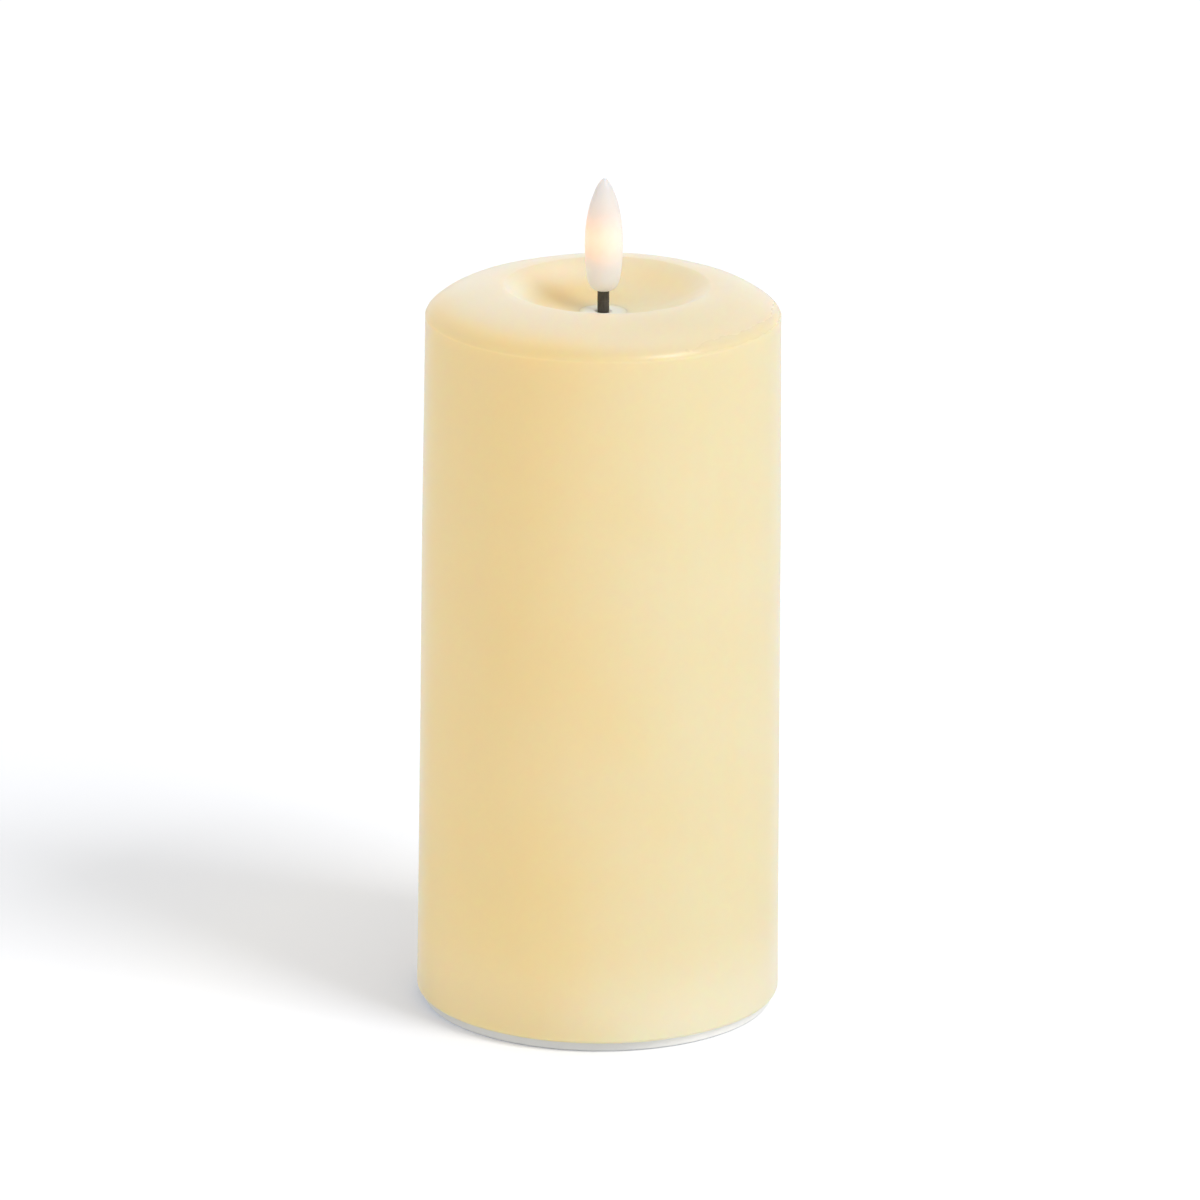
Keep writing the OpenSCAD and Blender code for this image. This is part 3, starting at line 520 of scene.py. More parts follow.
def label_material(flip):
    """Film label of a cell: a dark band, a pale ring and a silver-grey end, with no print."""
    n = Nodes("cell_label_" + ("b" if flip else "a"))
    x, y, z = n.xyz()
    along = n.maths("MULTIPLY", x, -1.0 if flip else 1.0)
    band = n.spread(along, 10.4, 10.7)
    ring = n.maths("SUBTRACT", n.spread(along, 9.2, 9.4), n.spread(along, 11.0, 11.2))
    flecks = n.noise(14.0, 2, 0.5)
    dark = n.mix(n.ramp(flecks, [(0.4, 0.0), (0.65, 1.0)]), srgb(34, 74, 74), srgb(42, 88, 86))
    silver = n.mix(n.ramp(flecks, [(0.4, 0.0), (0.65, 1.0)]), srgb(176, 178, 178), srgb(190, 192, 190))
    col = n.mix(band, dark, silver)
    col = n.mix(ring, col, srgb(226, 222, 206))
    seam = n.maths("SUBTRACT", 1.0, n.spread(n.maths("ABSOLUTE", n.maths("SUBTRACT", z, 12.4)), 0.05, 0.2))
    col = n.mix(n.maths("MULTIPLY", seam, 0.4), col, srgb(30, 40, 40))
    n.set(Base_Color=col, Roughness=n.maths("ADD", n.maths("MULTIPLY", n.noise(1.2, 3, 0.6), 0.12), 0.24), Metallic=n.maths("MULTIPLY", band, 0.55))
    n.bsdf.inputs["Coat Weight"].default_value = 0.5
    n.bump(n.noise(0.9, 3, 0.6), 0.03, 0.5)
    return n.m


def board_material(name, base, light, copper=True):
    """Board: solder resist with faint conductor tracks under it, and a faint darker weave all over."""
    n = Nodes(name)
    x, y, z = n.xyz()
    brick = n.t.nodes.new("ShaderNodeTexBrick")
    n.link(n.stretch(n.co, (0.21, 0.34, 1.0), (0.3, 0.1, 0)), brick.inputs["Vector"])
    brick.inputs["Scale"].default_value = 1.0
    brick.inputs["Mortar Size"].default_value = 0.05
    brick.inputs["Mortar Smooth"].default_value = 0.2
    track = brick.outputs["Fac"]
    weave = n.noise(6.0, 3, 0.6, n.stretch(n.co, (1.0, 0.25, 1.0)))
    col = n.mix(n.ramp(weave, [(0.4, 0.0), (0.7, 1.0)]), base, tuple(c * 0.85 for c in base))
    if copper:
        col = n.mix(n.maths("MULTIPLY", track, 0.55), col, light)
    n.set(Base_Color=col, Roughness=n.maths("ADD", n.maths("MULTIPLY", weave, 0.15), 0.28))
    n.bump(n.maths("ADD", n.maths("MULTIPLY", track, 0.6), n.maths("MULTIPLY", weave, 0.2)), 0.05, 0.6)
    return n.m


def resin_material():
    n = Nodes("lamp_resin")
    x, y, z = n.xyz()
    die = n.maths("SUBTRACT", 1.0, n.spread(n.maths("ABSOLUTE", n.maths("SUBTRACT", z, LAMP_GLOW_Z)), 0.2, 2.4))
    haze = n.noise(0.8, 3, 0.5)
    col = n.mix(n.ramp(haze, [(0.3, 0.0), (0.7, 1.0)]), srgb(255, 232, 180), srgb(255, 240, 205))
    n.set(Base_Color=col, Roughness=n.maths("ADD", n.maths("MULTIPLY", haze, 0.1), 0.08), IOR=1.53)
    n.bsdf.inputs["Transmission Weight"].default_value = 0.5
    n.set(Emission_Color=(1.0, 0.72, 0.38, 1.0), Emission_Strength=n.maths("MULTIPLY", die, 2.5))
    n.bump(haze, 0.02, 0.3)
    return n.m


def glue_material():
    n = Nodes("hot_glue")
    cloud = n.noise(0.35, 4, 0.6)
    col = n.mix(n.ramp(cloud, [(0.3, 0.0), (0.7, 1.0)]), srgb(228, 220, 190), srgb(240, 234, 210))
    n.set(Base_Color=col, Roughness=n.maths("ADD", n.maths("MULTIPLY", cloud, 0.15), 0.2), IOR=1.48)
    n.bsdf.inputs["Subsurface Weight"].default_value = 0.6
    n.bsdf.inputs["Subsurface Radius"].default_value = (1, 0.9, 0.7)
    n.bsdf.inputs["Subsurface Scale"].default_value = 2 * MM
    n.bump(n.noise(0.5, 3, 0.5), 0.2, 0.5)
    return n.m


def paint(ob, material):
    me = ob.data
    me.materials.clear()
    me.materials.append(material)
    me.polygons.foreach_set("material_index", [0] * len(me.polygons))


# --------------------------------------------------- main dimensions, in mm

w_lo, w_hi = bx("wax_shell")
BASE_R, FOOT_Z, BODY_H = w_hi[0], w_lo[2], w_hi[2]
TOP_R = BASE_R - 1.25
CREST_H, CREST_R, LIP_H, SHOULDER_P = 6.0, 21.5, 0.6, 2.2
SEAM_Z = BODY_H - CREST_H
b_lo, b_hi = bx("flame_bulb")
BULB_Z, BULB_L, BULB_R = b_lo[2], b_hi[2] - b_lo[2], b_hi[0]
c_lo, c_hi = bx("wick_collar")
BOWL_Z, COLLAR_R, COLLAR_LOW = c_hi[2], c_hi[0], c_lo[2]
s_lo, s_hi = bx("wick_sleeve")
WICK_R, WICK_LOW, WICK_TOP = s_hi[0], s_lo[2], s_hi[2]
l_lo, l_hi = bx("led_lamp")
LAMP_Z = l_lo[2]
LAMP_GLOW_Z = BULB_Z + 0.48 * BULB_L
g_lo, g_hi = bx("led_legs")
LEG_LOW = g_lo[2]
JOINT = {j["name"]: j for j in frame["joints"]}
BEND_1 = JOINT["wick_bend_side"]["pos_m"][2] / MM
BEND_2 = JOINT["wick_bend_front"]["pos_m"][2] / MM


# ---------------------------------------------------------------- wax shell

def shoulder_z(r):
    t = max(0.0, (r - CREST_R) / (TOP_R - CREST_R))
    return SEAM_Z + LIP_H * (1 - math.exp(-(TOP_R - r) / 0.3)) + (CREST_H - LIP_H) * (1 - t ** SHOULDER_P)


def wax_outline():
    o = []
    # inside of the bore, upwards is the inside wall, so start at the bottom inner edge and go outwards
    o += [(33.0, FOOT_Z + 0.25), (33.25, FOOT_Z)]
    rb = 0.9
    o += [(BASE_R - rb - 1.2, FOOT_Z)]
    o += [(BASE_R - rb + rb * math.sin(a), FOOT_Z + rb - rb * math.cos(a)) for a in np.linspace(0, math.pi / 2, 9)]
    z0, z1 = FOOT_Z + rb, SEAM_Z - 0.9
    for z in np.linspace(z0, z1, 74)[1:]:
        o.append((BASE_R + (TOP_R - BASE_R) * (z - z0) / (SEAM_Z - 0.7 - z0), z))
    # the seam: a barely raised line under the shoulder's edge
    for z, d in ((-0.75, 0.004), (-0.62, 0.012), (-0.5, 0.026), (-0.4, 0.038), (-0.3, 0.042), (-0.2, 0.036), (-0.1, 0.018), (0.0, 0.0)):
        o.append((TOP_R + d, SEAM_Z + z))
    for d in (0.05, 0.12, 0.2, 0.3, 0.42, 0.57, 0.75, 1.0, 1.3, 1.7, 2.2, 2.8, 3.5, 4.3, 5.2, 6.1, 7.0, 7.9, 8.8, 9.7, 10.6, 11.5, 12.3, 13.0, 13.5, 13.85):
        o.append((TOP_R - d, shoulder_z(TOP_R - d)))
    depth, flat = BODY_H - BOWL_Z, 5.2
    for t in [1.0, 0.985, 0.97, 0.95, 0.93, 0.905, 0.88] + [i / 24 for i in range(20, -1, -1)]:
        o.append((flat + (CREST_R - flat) * t, BOWL_Z + depth * (1 - max(0.0, 1 - t ** 2.2) ** 1.3)))
    o += [(COLLAR_R + 0.2, BOWL_Z), (COLLAR_R + 0.06, BOWL_Z), (COLLAR_R + 0.03, BOWL_Z), (COLLAR_R + 0.02, BOWL_Z - 0.03), (COLLAR_R + 0.02, BOWL_Z - 0.5)]
    roof = BOWL_Z - 7.0
    o += [(COLLAR_R + 0.02, BOWL_Z - 0.99), (COLLAR_R + 0.015, BOWL_Z - 1.0), (2.65, BOWL_Z - 1.0), (2.6, BOWL_Z - 1.05), (2.6, roof + 0.1), (2.7, roof), (6.0, roof), (14.0, roof)]
    o += [(21.6 + 9 * math.sin(a), roof - 11 + 11 * math.cos(a)) for a in np.radians(np.linspace(6, 90, 12))]
    for z in np.linspace(roof - 11, 38.0, 14)[1:]:
        t = (z - 38.0) / (roof - 11 - 38.0)
        o.append((31.55 + (30.6 - 31.55) * t, z))
    o += [(31.6, 38.0), (32.8, 38.0), (33.0, 37.8), (33.0, 20.0)]
    return o


SEAM_STRONG = math.radians(297)


def wax_warp(r, z, a):
    """The slight unevenness of cast wax: broad soft swells, and a seam that isn't perfectly level."""
    outer = r > 33.6 or z > BOWL_Z - 0.05
    if not outer:
        return r, z
    c, s = math.cos(a), math.sin(a)
    # the shoulder's edge and the seam sit a little lower on one side
    dip = 0.25 * float(smoothstep((-c + 0.15) / 1.15))
    if r > TOP_R - 3.0 and z > FOOT_Z - 0.01:
        bead = max(0.0, r - TOP_R) if SEAM_Z - 0.8 < z < SEAM_Z else 0.0
        strong = 0.12 + 0.88 * math.exp(-((a - SEAM_STRONG) / 0.34) ** 2)
        r -= bead * (1 - strong)
        inset = min(1.0, max(0.0, TOP_R - r) / 3.0) if z > SEAM_Z - 0.01 else 0.0
        d = 0.055 * noise.noise(Vector((c * 1.6, s * 1.6, z * 0.016 + 3.1))) + 0.02 * noise.noise(Vector((c * 6, s * 6, z * 0.05 + 9.4)))
        near = math.exp(-((z - SEAM_Z + 0.3) / 0.6) ** 2)
        d += 0.11 * math.exp(-((z - 100.0) / 30.0) ** 2)
        d += near * 0.05 * (noise.noise(Vector((c * 5, s * 5, 17.0))) + 0.35 * noise.noise(Vector((c * 17, s * 17, 4.0))))
        d = min(d, 0.16)
        low = math.exp(-((z - FOOT_Z) / 1.4) ** 2)
        dz = low * max(0.0, 0.10 * noise.noise(Vector((c * 3.5, s * 3.5, 31.0)))) + near * 0.10 * noise.noise(Vector((c * 2.6, s * 2.6, 23.0)))
        if z < FOOT_Z + 1.5:
            d = min(d, 0.0)
        if z > SEAM_Z - 0.01:
            keep = 1 - float(smoothstep(inset))
            return r + d * keep, z + dz * keep - dip * max(0.0, (r - CREST_R) / (TOP_R - CREST_R)) ** 1.6
        return r + d, z + dz - dip * float(smoothstep((z - SEAM_Z + 14.0) / 14.0))
    # the bowl runs a little closer to the middle on one side
    pull = smoothstep((r - 9.0) / 11.0) * smoothstep((TOP_R - 3.0 - r) / 9.0) * smoothstep((-c + 0.25) / 1.1)
    r = r * (1 - 0.07 * float(pull))
    z -= dip * max(0.0, (r - CREST_R) / (TOP_R - CREST_R)) ** 1.6
    fade = smoothstep((r - COLLAR_R - 0.6) / 3.0) * smoothstep((TOP_R - 3.0 - r) / 2.0)
    dz = fade * (0.09 * noise.noise(Vector((r * c * 0.09, r * s * 0.09, 5.0))) + 0.03 * noise.noise(Vector((r * c * 0.35, r * s * 0.35, 8.0))))
    return r, min(z + float(dz), BODY_H + 0.05)


wax = lathe("wax_shell_cast", wax_outline(), 288, warp=wax_warp)
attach(wax, "root")
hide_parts("wax_shell")
paint(wax, wax_material())


# -------------------------------------------------------------- flame bulb

FLAME_KNOTS = [(0.0, 0.44), (0.01, 0.565), (0.025, 0.665), (0.05, 0.76), (0.085, 0.84), (0.13, 0.9), (0.19, 0.945), (0.27, 0.98), (0.37, 0.998), (0.45, 1.0), (0.52, 0.983),
               (0.58, 0.953), (0.64, 0.905), (0.7, 0.84), (0.76, 0.757), (0.81, 0.67), (0.86, 0.565), (0.9, 0.467), (0.935, 0.365), (0.965, 0.255), (0.985, 0.16), (0.996, 0.075), (1.0, 0.0)]
FLAME = [(float(q[0]), max(0.0, min(1.0, float(q[1])))) for q in spline(FLAME_KNOTS, 3)]
FLAME[-1] = (1.0, 0.0)


def bulb_outline():
    o = [(WICK_R + 0.14, BULB_Z), (WICK_R + 0.3, BULB_Z - 0.0)]
    o = [(WICK_R + 0.12, BULB_Z + 0.0)]
    o += [(BULB_R * f, BULB_Z + BULB_L * s) for s, f in FLAME]
    o += [(0.0, BULB_Z + BULB_L - 8.2)]
    o += [(2.4 * math.sin(a), BULB_Z + BULB_L - 12.2 + 4 * math.cos(a)) for a in np.radians(np.linspace(9, 90, 10))]
    o += [(2.4, BULB_Z + 6.0), (2.4, BULB_Z + 2.65), (2.3, BULB_Z + 2.5), (WICK_R + 0.1, BULB_Z + 2.2), (WICK_R + 0.04, BULB_Z + 2.12), (WICK_R + 0.04, BULB_Z + 0.1)]
    return o


bulb = lathe("flame_bulb_moulding", bulb_outline(), 128)
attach(bulb, "flame")
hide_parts("flame_bulb")
paint(bulb, bulb_material())

lamp = lathe("led_lamp_resin", [(0, LAMP_Z), (1.75, LAMP_Z), (1.87, LAMP_Z + 0.06), (1.9, LAMP_Z + 0.2), (1.9, LAMP_Z + 0.72), (1.86, LAMP_Z + 0.84), (1.75, LAMP_Z + 0.9), (1.56, LAMP_Z + 0.92), (1.5, LAMP_Z + 1.0), (1.5, LAMP_Z + 2.4), (1.5, LAMP_Z + 3.6)]
             + [(1.5 * math.sin(a), LAMP_Z + 3.6 + 1.5 * math.cos(a)) for a in np.radians(np.linspace(84, 6, 12))] + [(0, LAMP_Z + 5.1)], 64)
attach(lamp, "flame")
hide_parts("led_lamp")
paint(lamp, resin_material())


# --------------------------------------------------- wick sleeve and lamp legs

MEET = (BEND_1 + BEND_2) / 2
sleeve_mat = sleeve_material()


def sleeve(name, z0, z1, lip0, lip1):
    """One length of the shrunk sleeve. It is slightly uneven, and clings to the two legs inside."""
    zs = np.linspace(z0, z1, int((z1 - z0) / 0.12) + 2)
    outer = [(WICK_R, z) for z in zs]
    inner = [(0.86, z) for z in zs[::-4]]
    if inner[-1][1] > z0 + 1e-6:
        inner.append((0.86, z0))

    def warp(r, z, a):
        if r < 1.0:
            return r, z
        c, s = math.cos(a), math.sin(a)
        d = 0.035 * noise.noise(Vector((c * 1.3, s * 1.3, z * 0.75))) + 0.02 * noise.noise(Vector((c * 4, s * 4, z * 2.2)))
        d -= 0.02 + 0.03 * s * s
        return min(r + d, WICK_R), z

    ob = lathe(name, outer + inner, 40, warp=warp)
    paint(ob, sleeve_mat)
    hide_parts("wick_sleeve")
    return ob


low = sleeve("wick_sleeve_lower", WICK_LOW, MEET, True, False)
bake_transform(low)
top = sleeve("wick_sleeve_upper", MEET, WICK_TOP, False, True)
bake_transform(top)

tin = metal("tinned_leg", srgb(206, 206, 202), 0.3)
LEG_X, LEG_R = 0.54, 0.27
parts = []
for s in (-1, 1):
    tube("", spline([(s * LEG_X, 0, MEET), (s * LEG_X, 0, BOWL_Z - 8), (s * LEG_X, 0, BOWL_Z - 12.6), (s * 0.7, 0, BOWL_Z - 13.6), (s * 1.1, 0, BOWL_Z - 15.4), (s * 1.1, 0, LEG_LOW)], 12), LEG_R, 12, 0.0, parts)
legs_low = joined("led_legs_lower", parts)
parts = []
for s in (-1, 1):
    tube("", [(s * LEG_X, 0, z) for z in np.linspace(LAMP_Z, MEET, 30)], LEG_R, 12, 0.0, parts)
legs_top = joined("led_legs_upper", parts)
for ob in (legs_low, legs_top):
    paint(ob, tin)
    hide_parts("led_legs")
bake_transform(legs_low)
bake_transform(legs_top)

collar = lathe("wick_collar_moulding", fillet([(WICK_R + 0.05, COLLAR_LOW), (2.5, COLLAR_LOW), (2.5, BOWL_Z - 1.0), (COLLAR_R, BOWL_Z - 1.0), (COLLAR_R, BOWL_Z),
                                               (WICK_R + 0.55, BOWL_Z), (WICK_R + 0.05, BOWL_Z - 0.5)], [0.1, 0.2, 0, 0.05, 0.06, 0.25, 0.15], 6), 96)
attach(collar, "root")
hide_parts("wick_collar")
paint(collar, collar_material())


# ------------------------------------------------------- wires and springs

def wire_piece(name, node, paths, radius, material, sides=16):
    parts = []
    for knots in paths:
        tube("", spline(knots, 10), radius, sides, 0.25, parts)
    ob = joined(name, parts)
    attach(ob, "root")
    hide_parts(node)
    paint(ob, material)
    return ob


cb_lo, cb_hi = bx("circuit_board")
BOARD = cb_hi[2]
tp_lo, tp_hi = bx("positive_terminal")
TAB_X = tp_hi[0] - 0.2
CELL_Y = 7.3
CELL_Z = 10.0
sw_lo, sw_hi = bx("switch_case")
SW_Y, SW_Z = (sw_lo[1] + sw_hi[1]) / 2, sw_lo[2]
ic_lo, ic_hi = bx("inner_cover")
sp_lo, sp_hi = bx("splice_sleeves")
SPLICE = LEG_LOW
H = SPLICE - 0.3
Z0 = ic_hi[2]
SPAN = H - Z0


def lamp_path(s):
    return [(10.5, s * 1.9 + 1.5, BOARD + 0.2), (10.4, s * 1.9 + 1.5, BOARD + 1.6), (9.6, s * 1.7 + 1.3, BOARD + 3.2), (7, s * 1.3 + 0.9, BOARD + 4.6),
            (2.4, s * 0.9 + 0.3, BOARD + 6.4), (0.2, s * 0.75, 32 - 0.6), (0, s * 0.72, Z0), (1.2, s * 0.8, Z0 + SPAN * 0.14),
            (3.6, s * 0.85 + 0.8, Z0 + SPAN * 0.32), (2.2, s * 0.9 - 0.8, Z0 + SPAN * 0.52), (-2.4, s * 0.85 - 0.3, Z0 + SPAN * 0.7),
            (-1.8 + s * 0.2, s * 0.8, Z0 + SPAN * 0.85), (s * 0.9, s * 0.4, Z0 + SPAN * 0.95), (s * 1.1, 0, H - 2.2), (s * 1.1, 0, H)]


red = plastic("wire_red", srgb(176, 30, 24), 0.45, 0.03, 6.0, tint=0.12)
black = plastic("wire_black", srgb(36, 35, 34), 0.45, 0.03, 6.0, tint=0.12)
yellow = plastic("wire_yellow", srgb(222, 178, 40), 0.45, 0.03, 6.0, tint=0.12)
wire_piece("lamp_wire_red_cord", "lamp_wire_red", [lamp_path(1)], 0.52, red)
wire_piece("lamp_wire_black_cord", "lamp_wire_black", [lamp_path(-1)], 0.52, black)
wire_piece("battery_wire_red_cord", "battery_wire_red", [[(TAB_X - 0.77, CELL_Y, BOARD + 0.9), (TAB_X - 1.4, CELL_Y + 1.8, BOARD + 2.2), (22, 14.6, BOARD + 1.6), (12, 19, BOARD - 1), (4.5, 22.5, 17.5),
           (1.4, SW_Y - 0.55, 14.2), (0.1, SW_Y - 0.75, 12.4)]], 0.55, red)
wire_piece("battery_wire_black_cord", "battery_wire_black", [[(TAB_X - 0.77, -CELL_Y, BOARD + 0.9), (TAB_X - 2.2, -CELL_Y + 0.6, BOARD + 2.4), (21.6, -4.6, BOARD + 2.2), (18.6, -3.2, BOARD + 1.6),
           (17.7, -2.7, BOARD + 0.9), (17.5, -2.6, BOARD + 0.3)]], 0.55, black)
wire_piece("switch_wires_cord", "switch_wires", [[(a, SW_Y + 0.75, 12.4), (a * 1.1, SW_Y + 0.9, 14.4), (a * 1.6 - 1, SW_Y - 1.6, 19.6), (b, 16.6, BOARD + 2.4), (b, 12.2, BOARD + 2.2), (b, 10.4, BOARD + 1.2), (b, 10.2, BOARD + 0.2)]
           for a, b in ((-2.5, -10), (2.5, -6.4))], 0.5, yellow)

spring_mat = metal("spring_wire", srgb(204, 202, 196), 0.24)


def spring_piece(name, node, x0, y0, direction):
    lo, hi = bx(node)
    wire = 0.32
    length = (hi[0] - lo[0]) - 2 * wire
    r0, r1, turns = (hi[1] - lo[1]) / 2 - wire, 2.1, 3.5
    path = []
    for i in range(int(turns * 48) + 1):
        a, t = 2 * math.pi * i / 48, i / (turns * 48)
        c = min(1.0, max(0.0, (t * turns - 0.75) / (turns - 1.25)))
        path.append((x0 + direction * length * c, y0 + (r0 + (r1 - r0) * c) * math.cos(a), CELL_Z + (r0 + (r1 - r0) * c) * math.sin(a)))
    ob = tube(name, path, wire, 12, 0.3)
    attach(ob, "root")
    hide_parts(node)
    paint(ob, spring_mat)


n_lo, n_hi = bx("negative_spring")
spring_piece("negative_spring_coil", "negative_spring", n_hi[0] - 0.32, -CELL_Y, -1)
q_lo, q_hi = bx("bridge_spring")
spring_piece("bridge_spring_coil", "bridge_spring", q_lo[0] + 0.32, CELL_Y, 1)


# ---------------------------------------------------- carried-over CAD nodes

def refine(node, material, width=0.12, segments=2, angle=32):
    """Softens a CAD node's edges with modifiers. Its mesh and place stay as they are."""
    ob = CAD[node]
    weld = ob.modifiers.new("weld", "WELD")
    weld.merge_threshold = 1e-6
    flat = ob.modifiers.new("flat", "DECIMATE")
    flat.decimate_type = "DISSOLVE"
    flat.angle_limit = math.radians(0.6)
    if width:
        bevel = ob.modifiers.new("edges", "BEVEL")
        bevel.width = width * MM
        bevel.segments = segments
        bevel.limit_method = "ANGLE"
        bevel.angle_limit = math.radians(angle)
        bevel.harden_normals = False
        bevel.use_clamp_overlap = True
    wn = ob.modifiers.new("normals", "WEIGHTED_NORMAL")
    wn.keep_sharp = True
    ob.data.polygons.foreach_set("use_smooth", [True] * len(ob.data.polygons))
    paint(ob, material)
    return ob


white = plastic("base_plastic", srgb(218, 219, 219), 0.46, 0.035, 5.0, sss=0.15, painted_light_rim_r=BASE_R - 1.3)
white_door = plastic("door_plastic", srgb(230, 229, 224), 0.44, 0.035, 5.0, sss=0.15)
white_inner = plastic("cover_plastic", srgb(222, 221, 215), 0.5, 0.04, 4.0, sss=0.15)
black_knob = plastic("knob_black", srgb(36, 36, 37), 0.42, 0.03, 6.0, tint=0.15)
zinc = metal("screw_zinc", srgb(196, 197, 200), 0.26)
nickel = metal("nickel_sheet", srgb(210, 206, 194), 0.3, (1.0, 0.15, 0.15))
steel = metal("switch_case_tin", srgb(190, 190, 188), 0.34, (0.2, 1.0, 1.0))
can = metal("cell_can_nickel", srgb(204, 203, 198), 0.25)
chip = plastic("chip_resin", srgb(38, 38, 38), 0.55, 0.04, 8.0, tint=0.15)

refine("base_housing", white, 0.15)
refine("battery_door", white_door, 0.12)
refine("inner_cover", white_inner, 0.15)
refine("collar_nut", white_inner, 0.12)
refine("cover_screws", zinc, 0.06)
refine("board_screws", zinc, 0.05)
refine("switch_screws", zinc, 0.05)
refine("battery_1_can", can, 0.1)
refine("battery_2_can", can, 0.1)
refine("battery_1_label", label_material(False), 0.0)
refine("battery_2_label", label_material(True), 0.0)
refine("positive_terminal", nickel, 0.05)
refine("negative_terminal", nickel, 0.05)
refine("bridge_contact", nickel, 0.05)
refine("circuit_board", board_material("board_green", srgb(24, 84, 50), srgb(62, 128, 72)), 0.05)
refine("switch_board", board_material("board_brown", srgb(122, 84, 46), srgb(150, 112, 70), False), 0.05)
refine("control_chip", chip, 0.05)
refine("resistors", chip, 0.05)
refine("timer_crystal", metal("crystal_can", srgb(205, 205, 206), 0.22), 0.06)
refine("capacitor", plastic("capacitor_film", srgb(34, 38, 84), 0.3, 0.01, 5.0, tint=0.1), 0.08)
refine("switch_case", steel, 0.05)
refine("switch_knob", black_knob, 0.12)
refine("splice_sleeves", sleeve_mat, 0.05)
refine("glue_beads", glue_material(), 0.15)


# -------------------------------------------------------------- the set-up

scene.view_settings.view_transform = "Standard"
scene.view_settings.look = "None"
scene.view_settings.exposure = 0.0
scene.view_settings.gamma = 1.0

FLOOR_SEEN = 1.13
floor_me = bpy.data.meshes.new("floor")
S = 6.0
floor_me.from_pydata([(-S, -S, 0), (S, -S, 0), (S, S, 0), (-S, S, 0)], [], [(0, 1, 2, 3)])
floor = bpy.data.objects.new("floor", floor_me)
scene.collection.objects.link(floor)
fm = bpy.data.materials.new("pale_floor")
fm.use_nodes = True
fb = next(n for n in fm.node_tree.nodes if n.type == "BSDF_PRINCIPLED")
fb.inputs["Base Color"].default_value = (0.87, 0.875, 0.885, 1)
fb.inputs["Roughness"].default_value = 0.9
fb.inputs["Specular IOR Level"].default_value = 0.1
# the camera sees the paper a little brighter than it lights the candle, so it reads as plain white
ft = fm.node_tree
seen_floor = ft.nodes.new("ShaderNodeBsdfDiffuse")
fpath = ft.nodes.new("ShaderNodeLightPath")
fmix = ft.nodes.new("ShaderNodeMixShader")
fout = next(n for n in ft.nodes if n.type == "OUTPUT_MATERIAL")
fco = ft.nodes.new("ShaderNodeTexCoord")
fxyz = ft.nodes.new("ShaderNodeSeparateXYZ")
ft.links.new(fco.outputs["Object"], fxyz.inputs[0])


def fspread(value, lo, hi, to_lo=0.0, to_hi=1.0):
    m = ft.nodes.new("ShaderNodeMapRange")
    m.interpolation_type = "SMOOTHSTEP"
    for k, v in (("From Min", lo), ("From Max", hi), ("To Min", to_lo), ("To Max", to_hi)):
        m.inputs[k].default_value = v
    ft.links.new(value, m.inputs["Value"])
    return m.outputs[0]


# far behind, the paper sweeps up into plain white
far_white = ft.nodes.new("ShaderNodeEmission")
far_white.inputs["Color"].default_value = (1, 1, 1, 1)
far_white.inputs["Strength"].default_value = 1.05
sweep = ft.nodes.new("ShaderNodeMixShader")
ft.links.new(fspread(fxyz.outputs[1], 0.16, 0.60), sweep.inputs[0])
ft.links.new(seen_floor.outputs[0], sweep.inputs[1])
ft.links.new(far_white.outputs[0], sweep.inputs[2])
# painted shade: the camera sees the floor darkened near the foot by occlusion, on the side away from the light, and
# tinted bluish to offset the wax's warm bounce light
shade = ft.nodes.new("ShaderNodeAmbientOcclusion")
shade.samples = 8
shade.inputs["Distance"].default_value = 0.05
weight = ft.nodes.new("ShaderNodeMath")
weight.operation = "MULTIPLY"
ft.links.new(fspread(fxyz.outputs[0], -0.045, -0.012, 0.36, 0.0), weight.inputs[0])
gap = ft.nodes.new("ShaderNodeMath")
gap.operation = "SUBTRACT"
gap.inputs[0].default_value = 1.0
ft.links.new(shade.outputs["AO"], gap.inputs[1])
ft.links.new(gap.outputs[0], weight.inputs[1])
floor_tone = ft.nodes.new("ShaderNodeMix")
floor_tone.data_type = "RGBA"
ft.links.new(weight.outputs[0], floor_tone.inputs[0])
floor_tone.inputs[6].default_value = (FLOOR_SEEN * 0.985, FLOOR_SEEN, FLOOR_SEEN * 1.035, 1)
floor_tone.inputs[7].default_value = (0.02, 0.25, 0.85, 1)
ft.links.new(floor_tone.outputs[2], seen_floor.inputs["Color"])
ft.links.new(fpath.outputs["Is Camera Ray"], fmix.inputs[0])
ft.links.new(fb.outputs[0], fmix.inputs[1])
ft.links.new(sweep.outputs[0], fmix.inputs[2])
ft.links.new(fmix.outputs[0], fout.inputs["Surface"])
floor.data.materials.append(fm)

TENT_LOW, TENT_DROP, TENT_SIDE, TENT_ENDS = 1.03, 0.76, -0.16, 0.13
world = bpy.data.worlds.new("studio")
scene.world = world
world.use_nodes = True
bg = next(n for n in world.node_tree.nodes if n.type == "BACKGROUND")
bg.inputs["Color"].default_value = (1.0, 1.0, 1.0, 1)
# a white tent: brighter round the horizon than overhead, and brightest in front and behind
wt = world.node_tree
geo = wt.nodes.new("ShaderNodeTexCoord")
parts_xyz = wt.nodes.new("ShaderNodeSeparateXYZ")
wt.links.new(geo.outputs["Generated"], parts_xyz.inputs[0])


def wmath(op, a, b):
    m = wt.nodes.new("ShaderNodeMath")
    m.operation = op
    for k, v in enumerate((a, b)):
        if hasattr(v, "is_linked"):
            wt.links.new(v, m.inputs[k])
        else:
            m.inputs[k].default_value = v
    return m.outputs[0]


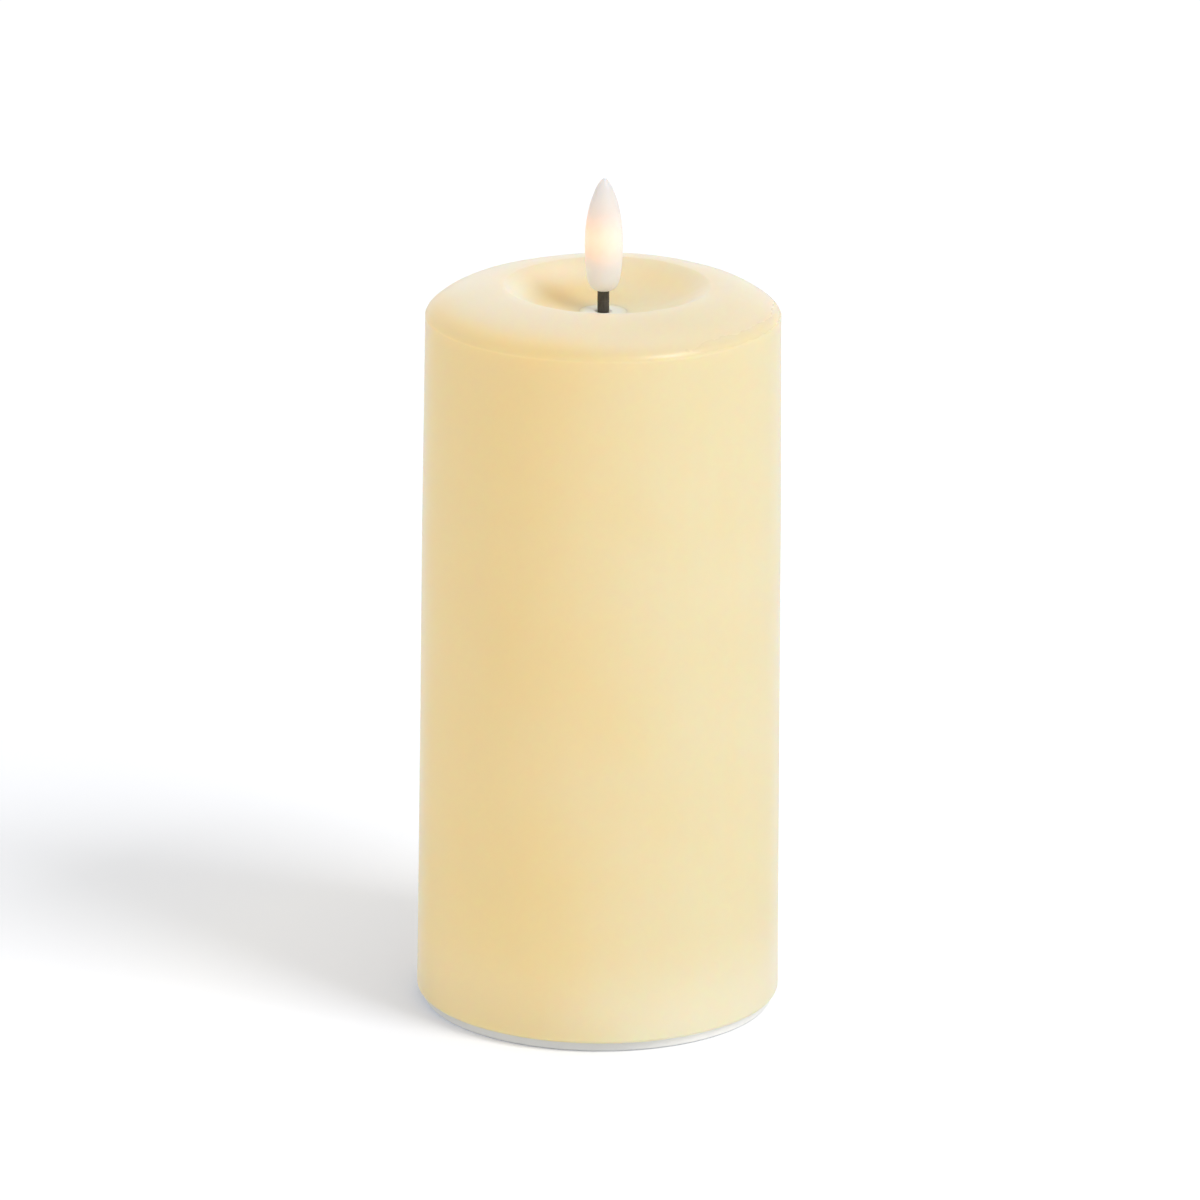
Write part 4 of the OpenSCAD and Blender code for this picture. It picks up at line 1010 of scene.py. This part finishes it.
tent = wmath("SUBTRACT", TENT_LOW, wmath("MULTIPLY", wmath("MULTIPLY", parts_xyz.outputs[2], parts_xyz.outputs[2]), TENT_DROP))
tent = wmath("ADD", tent, wmath("MULTIPLY", parts_xyz.outputs[0], TENT_SIDE))
tent = wmath("ADD", tent, wmath("MULTIPLY", wmath("MULTIPLY", parts_xyz.outputs[1], parts_xyz.outputs[1]), TENT_ENDS))
wt.links.new(tent, bg.inputs["Strength"])
# the camera sees plain white where the floor ends
path = wt.nodes.new("ShaderNodeLightPath")
seen = wt.nodes.new("ShaderNodeBackground")
seen.inputs["Color"].default_value = (1, 1, 1, 1)
seen.inputs["Strength"].default_value = 1.05
both = wt.nodes.new("ShaderNodeMixShader")
out = next(n for n in wt.nodes if n.type == "OUTPUT_WORLD")
wt.links.new(path.outputs["Is Camera Ray"], both.inputs[0])
wt.links.new(bg.outputs[0], both.inputs[1])
wt.links.new(seen.outputs[0], both.inputs[2])
wt.links.new(both.outputs[0], out.inputs[0])


def area(name, at, to, size, power, colour=(1, 1, 1)):
    d = bpy.data.lights.new(name, "AREA")
    d.shape = "RECTANGLE"
    d.size, d.size_y = size
    d.energy = power
    d.color = colour
    o = bpy.data.objects.new(name, d)
    o.location = at
    o.rotation_mode = "QUATERNION"
    o.rotation_quaternion = (Vector(to) - Vector(at)).to_track_quat("-Z", "Y")
    scene.collection.objects.link(o)
    return o


area("key", (1.34, -0.87, 1.86), (0, 0, 0.08), (0.85, 0.85), 22.0)

# camera: the photograph's direction and distance, turned and zoomed to the one candle
EYE = Vector((0.0904854, -1.85554, 0.6656928))
AIM = Vector((-0.000146, 0.0, 0.084))
ROLL = 0.0087
fwd = (AIM - EYE).normalized()
right = fwd.cross(Vector((0, 0, 1))).normalized()
up = right.cross(fwd)
r2 = right * math.cos(ROLL) + up * math.sin(ROLL)
u2 = -right * math.sin(ROLL) + up * math.cos(ROLL)
cam_data = bpy.data.cameras.new("camera")
cam_data.sensor_width = 36.0
cam_data.lens = 289.43
cam_data.clip_start, cam_data.clip_end = 0.05, 50.0
cam = bpy.data.objects.new("camera", cam_data)
cam.matrix_world = Matrix(((r2.x, u2.x, -fwd.x, EYE.x), (r2.y, u2.y, -fwd.y, EYE.y), (r2.z, u2.z, -fwd.z, EYE.z), (0, 0, 0, 1)))
scene.collection.objects.link(cam)
scene.camera = cam

# seen from below the floor's level, the floor steps out of the way
drv = floor.driver_add("hide_render")
drv.driver.type = "SUM"
var = drv.driver.variables.new()
var.type = "TRANSFORMS"
var.targets[0].id = cam
var.targets[0].transform_type = "LOC_Z"
var.targets[0].transform_space = "WORLD_SPACE"
for m in list(drv.modifiers):
    drv.modifiers.remove(m)
drv.keyframe_points.add(4)
for k, (a, b) in zip(drv.keyframe_points, ((-100.0, 1.0), (-0.002, 1.0), (0.0, 0.0), (100.0, 0.0))):
    k.co = (a, b)
    k.interpolation = "LINEAR"

bpy.context.view_layer.update()
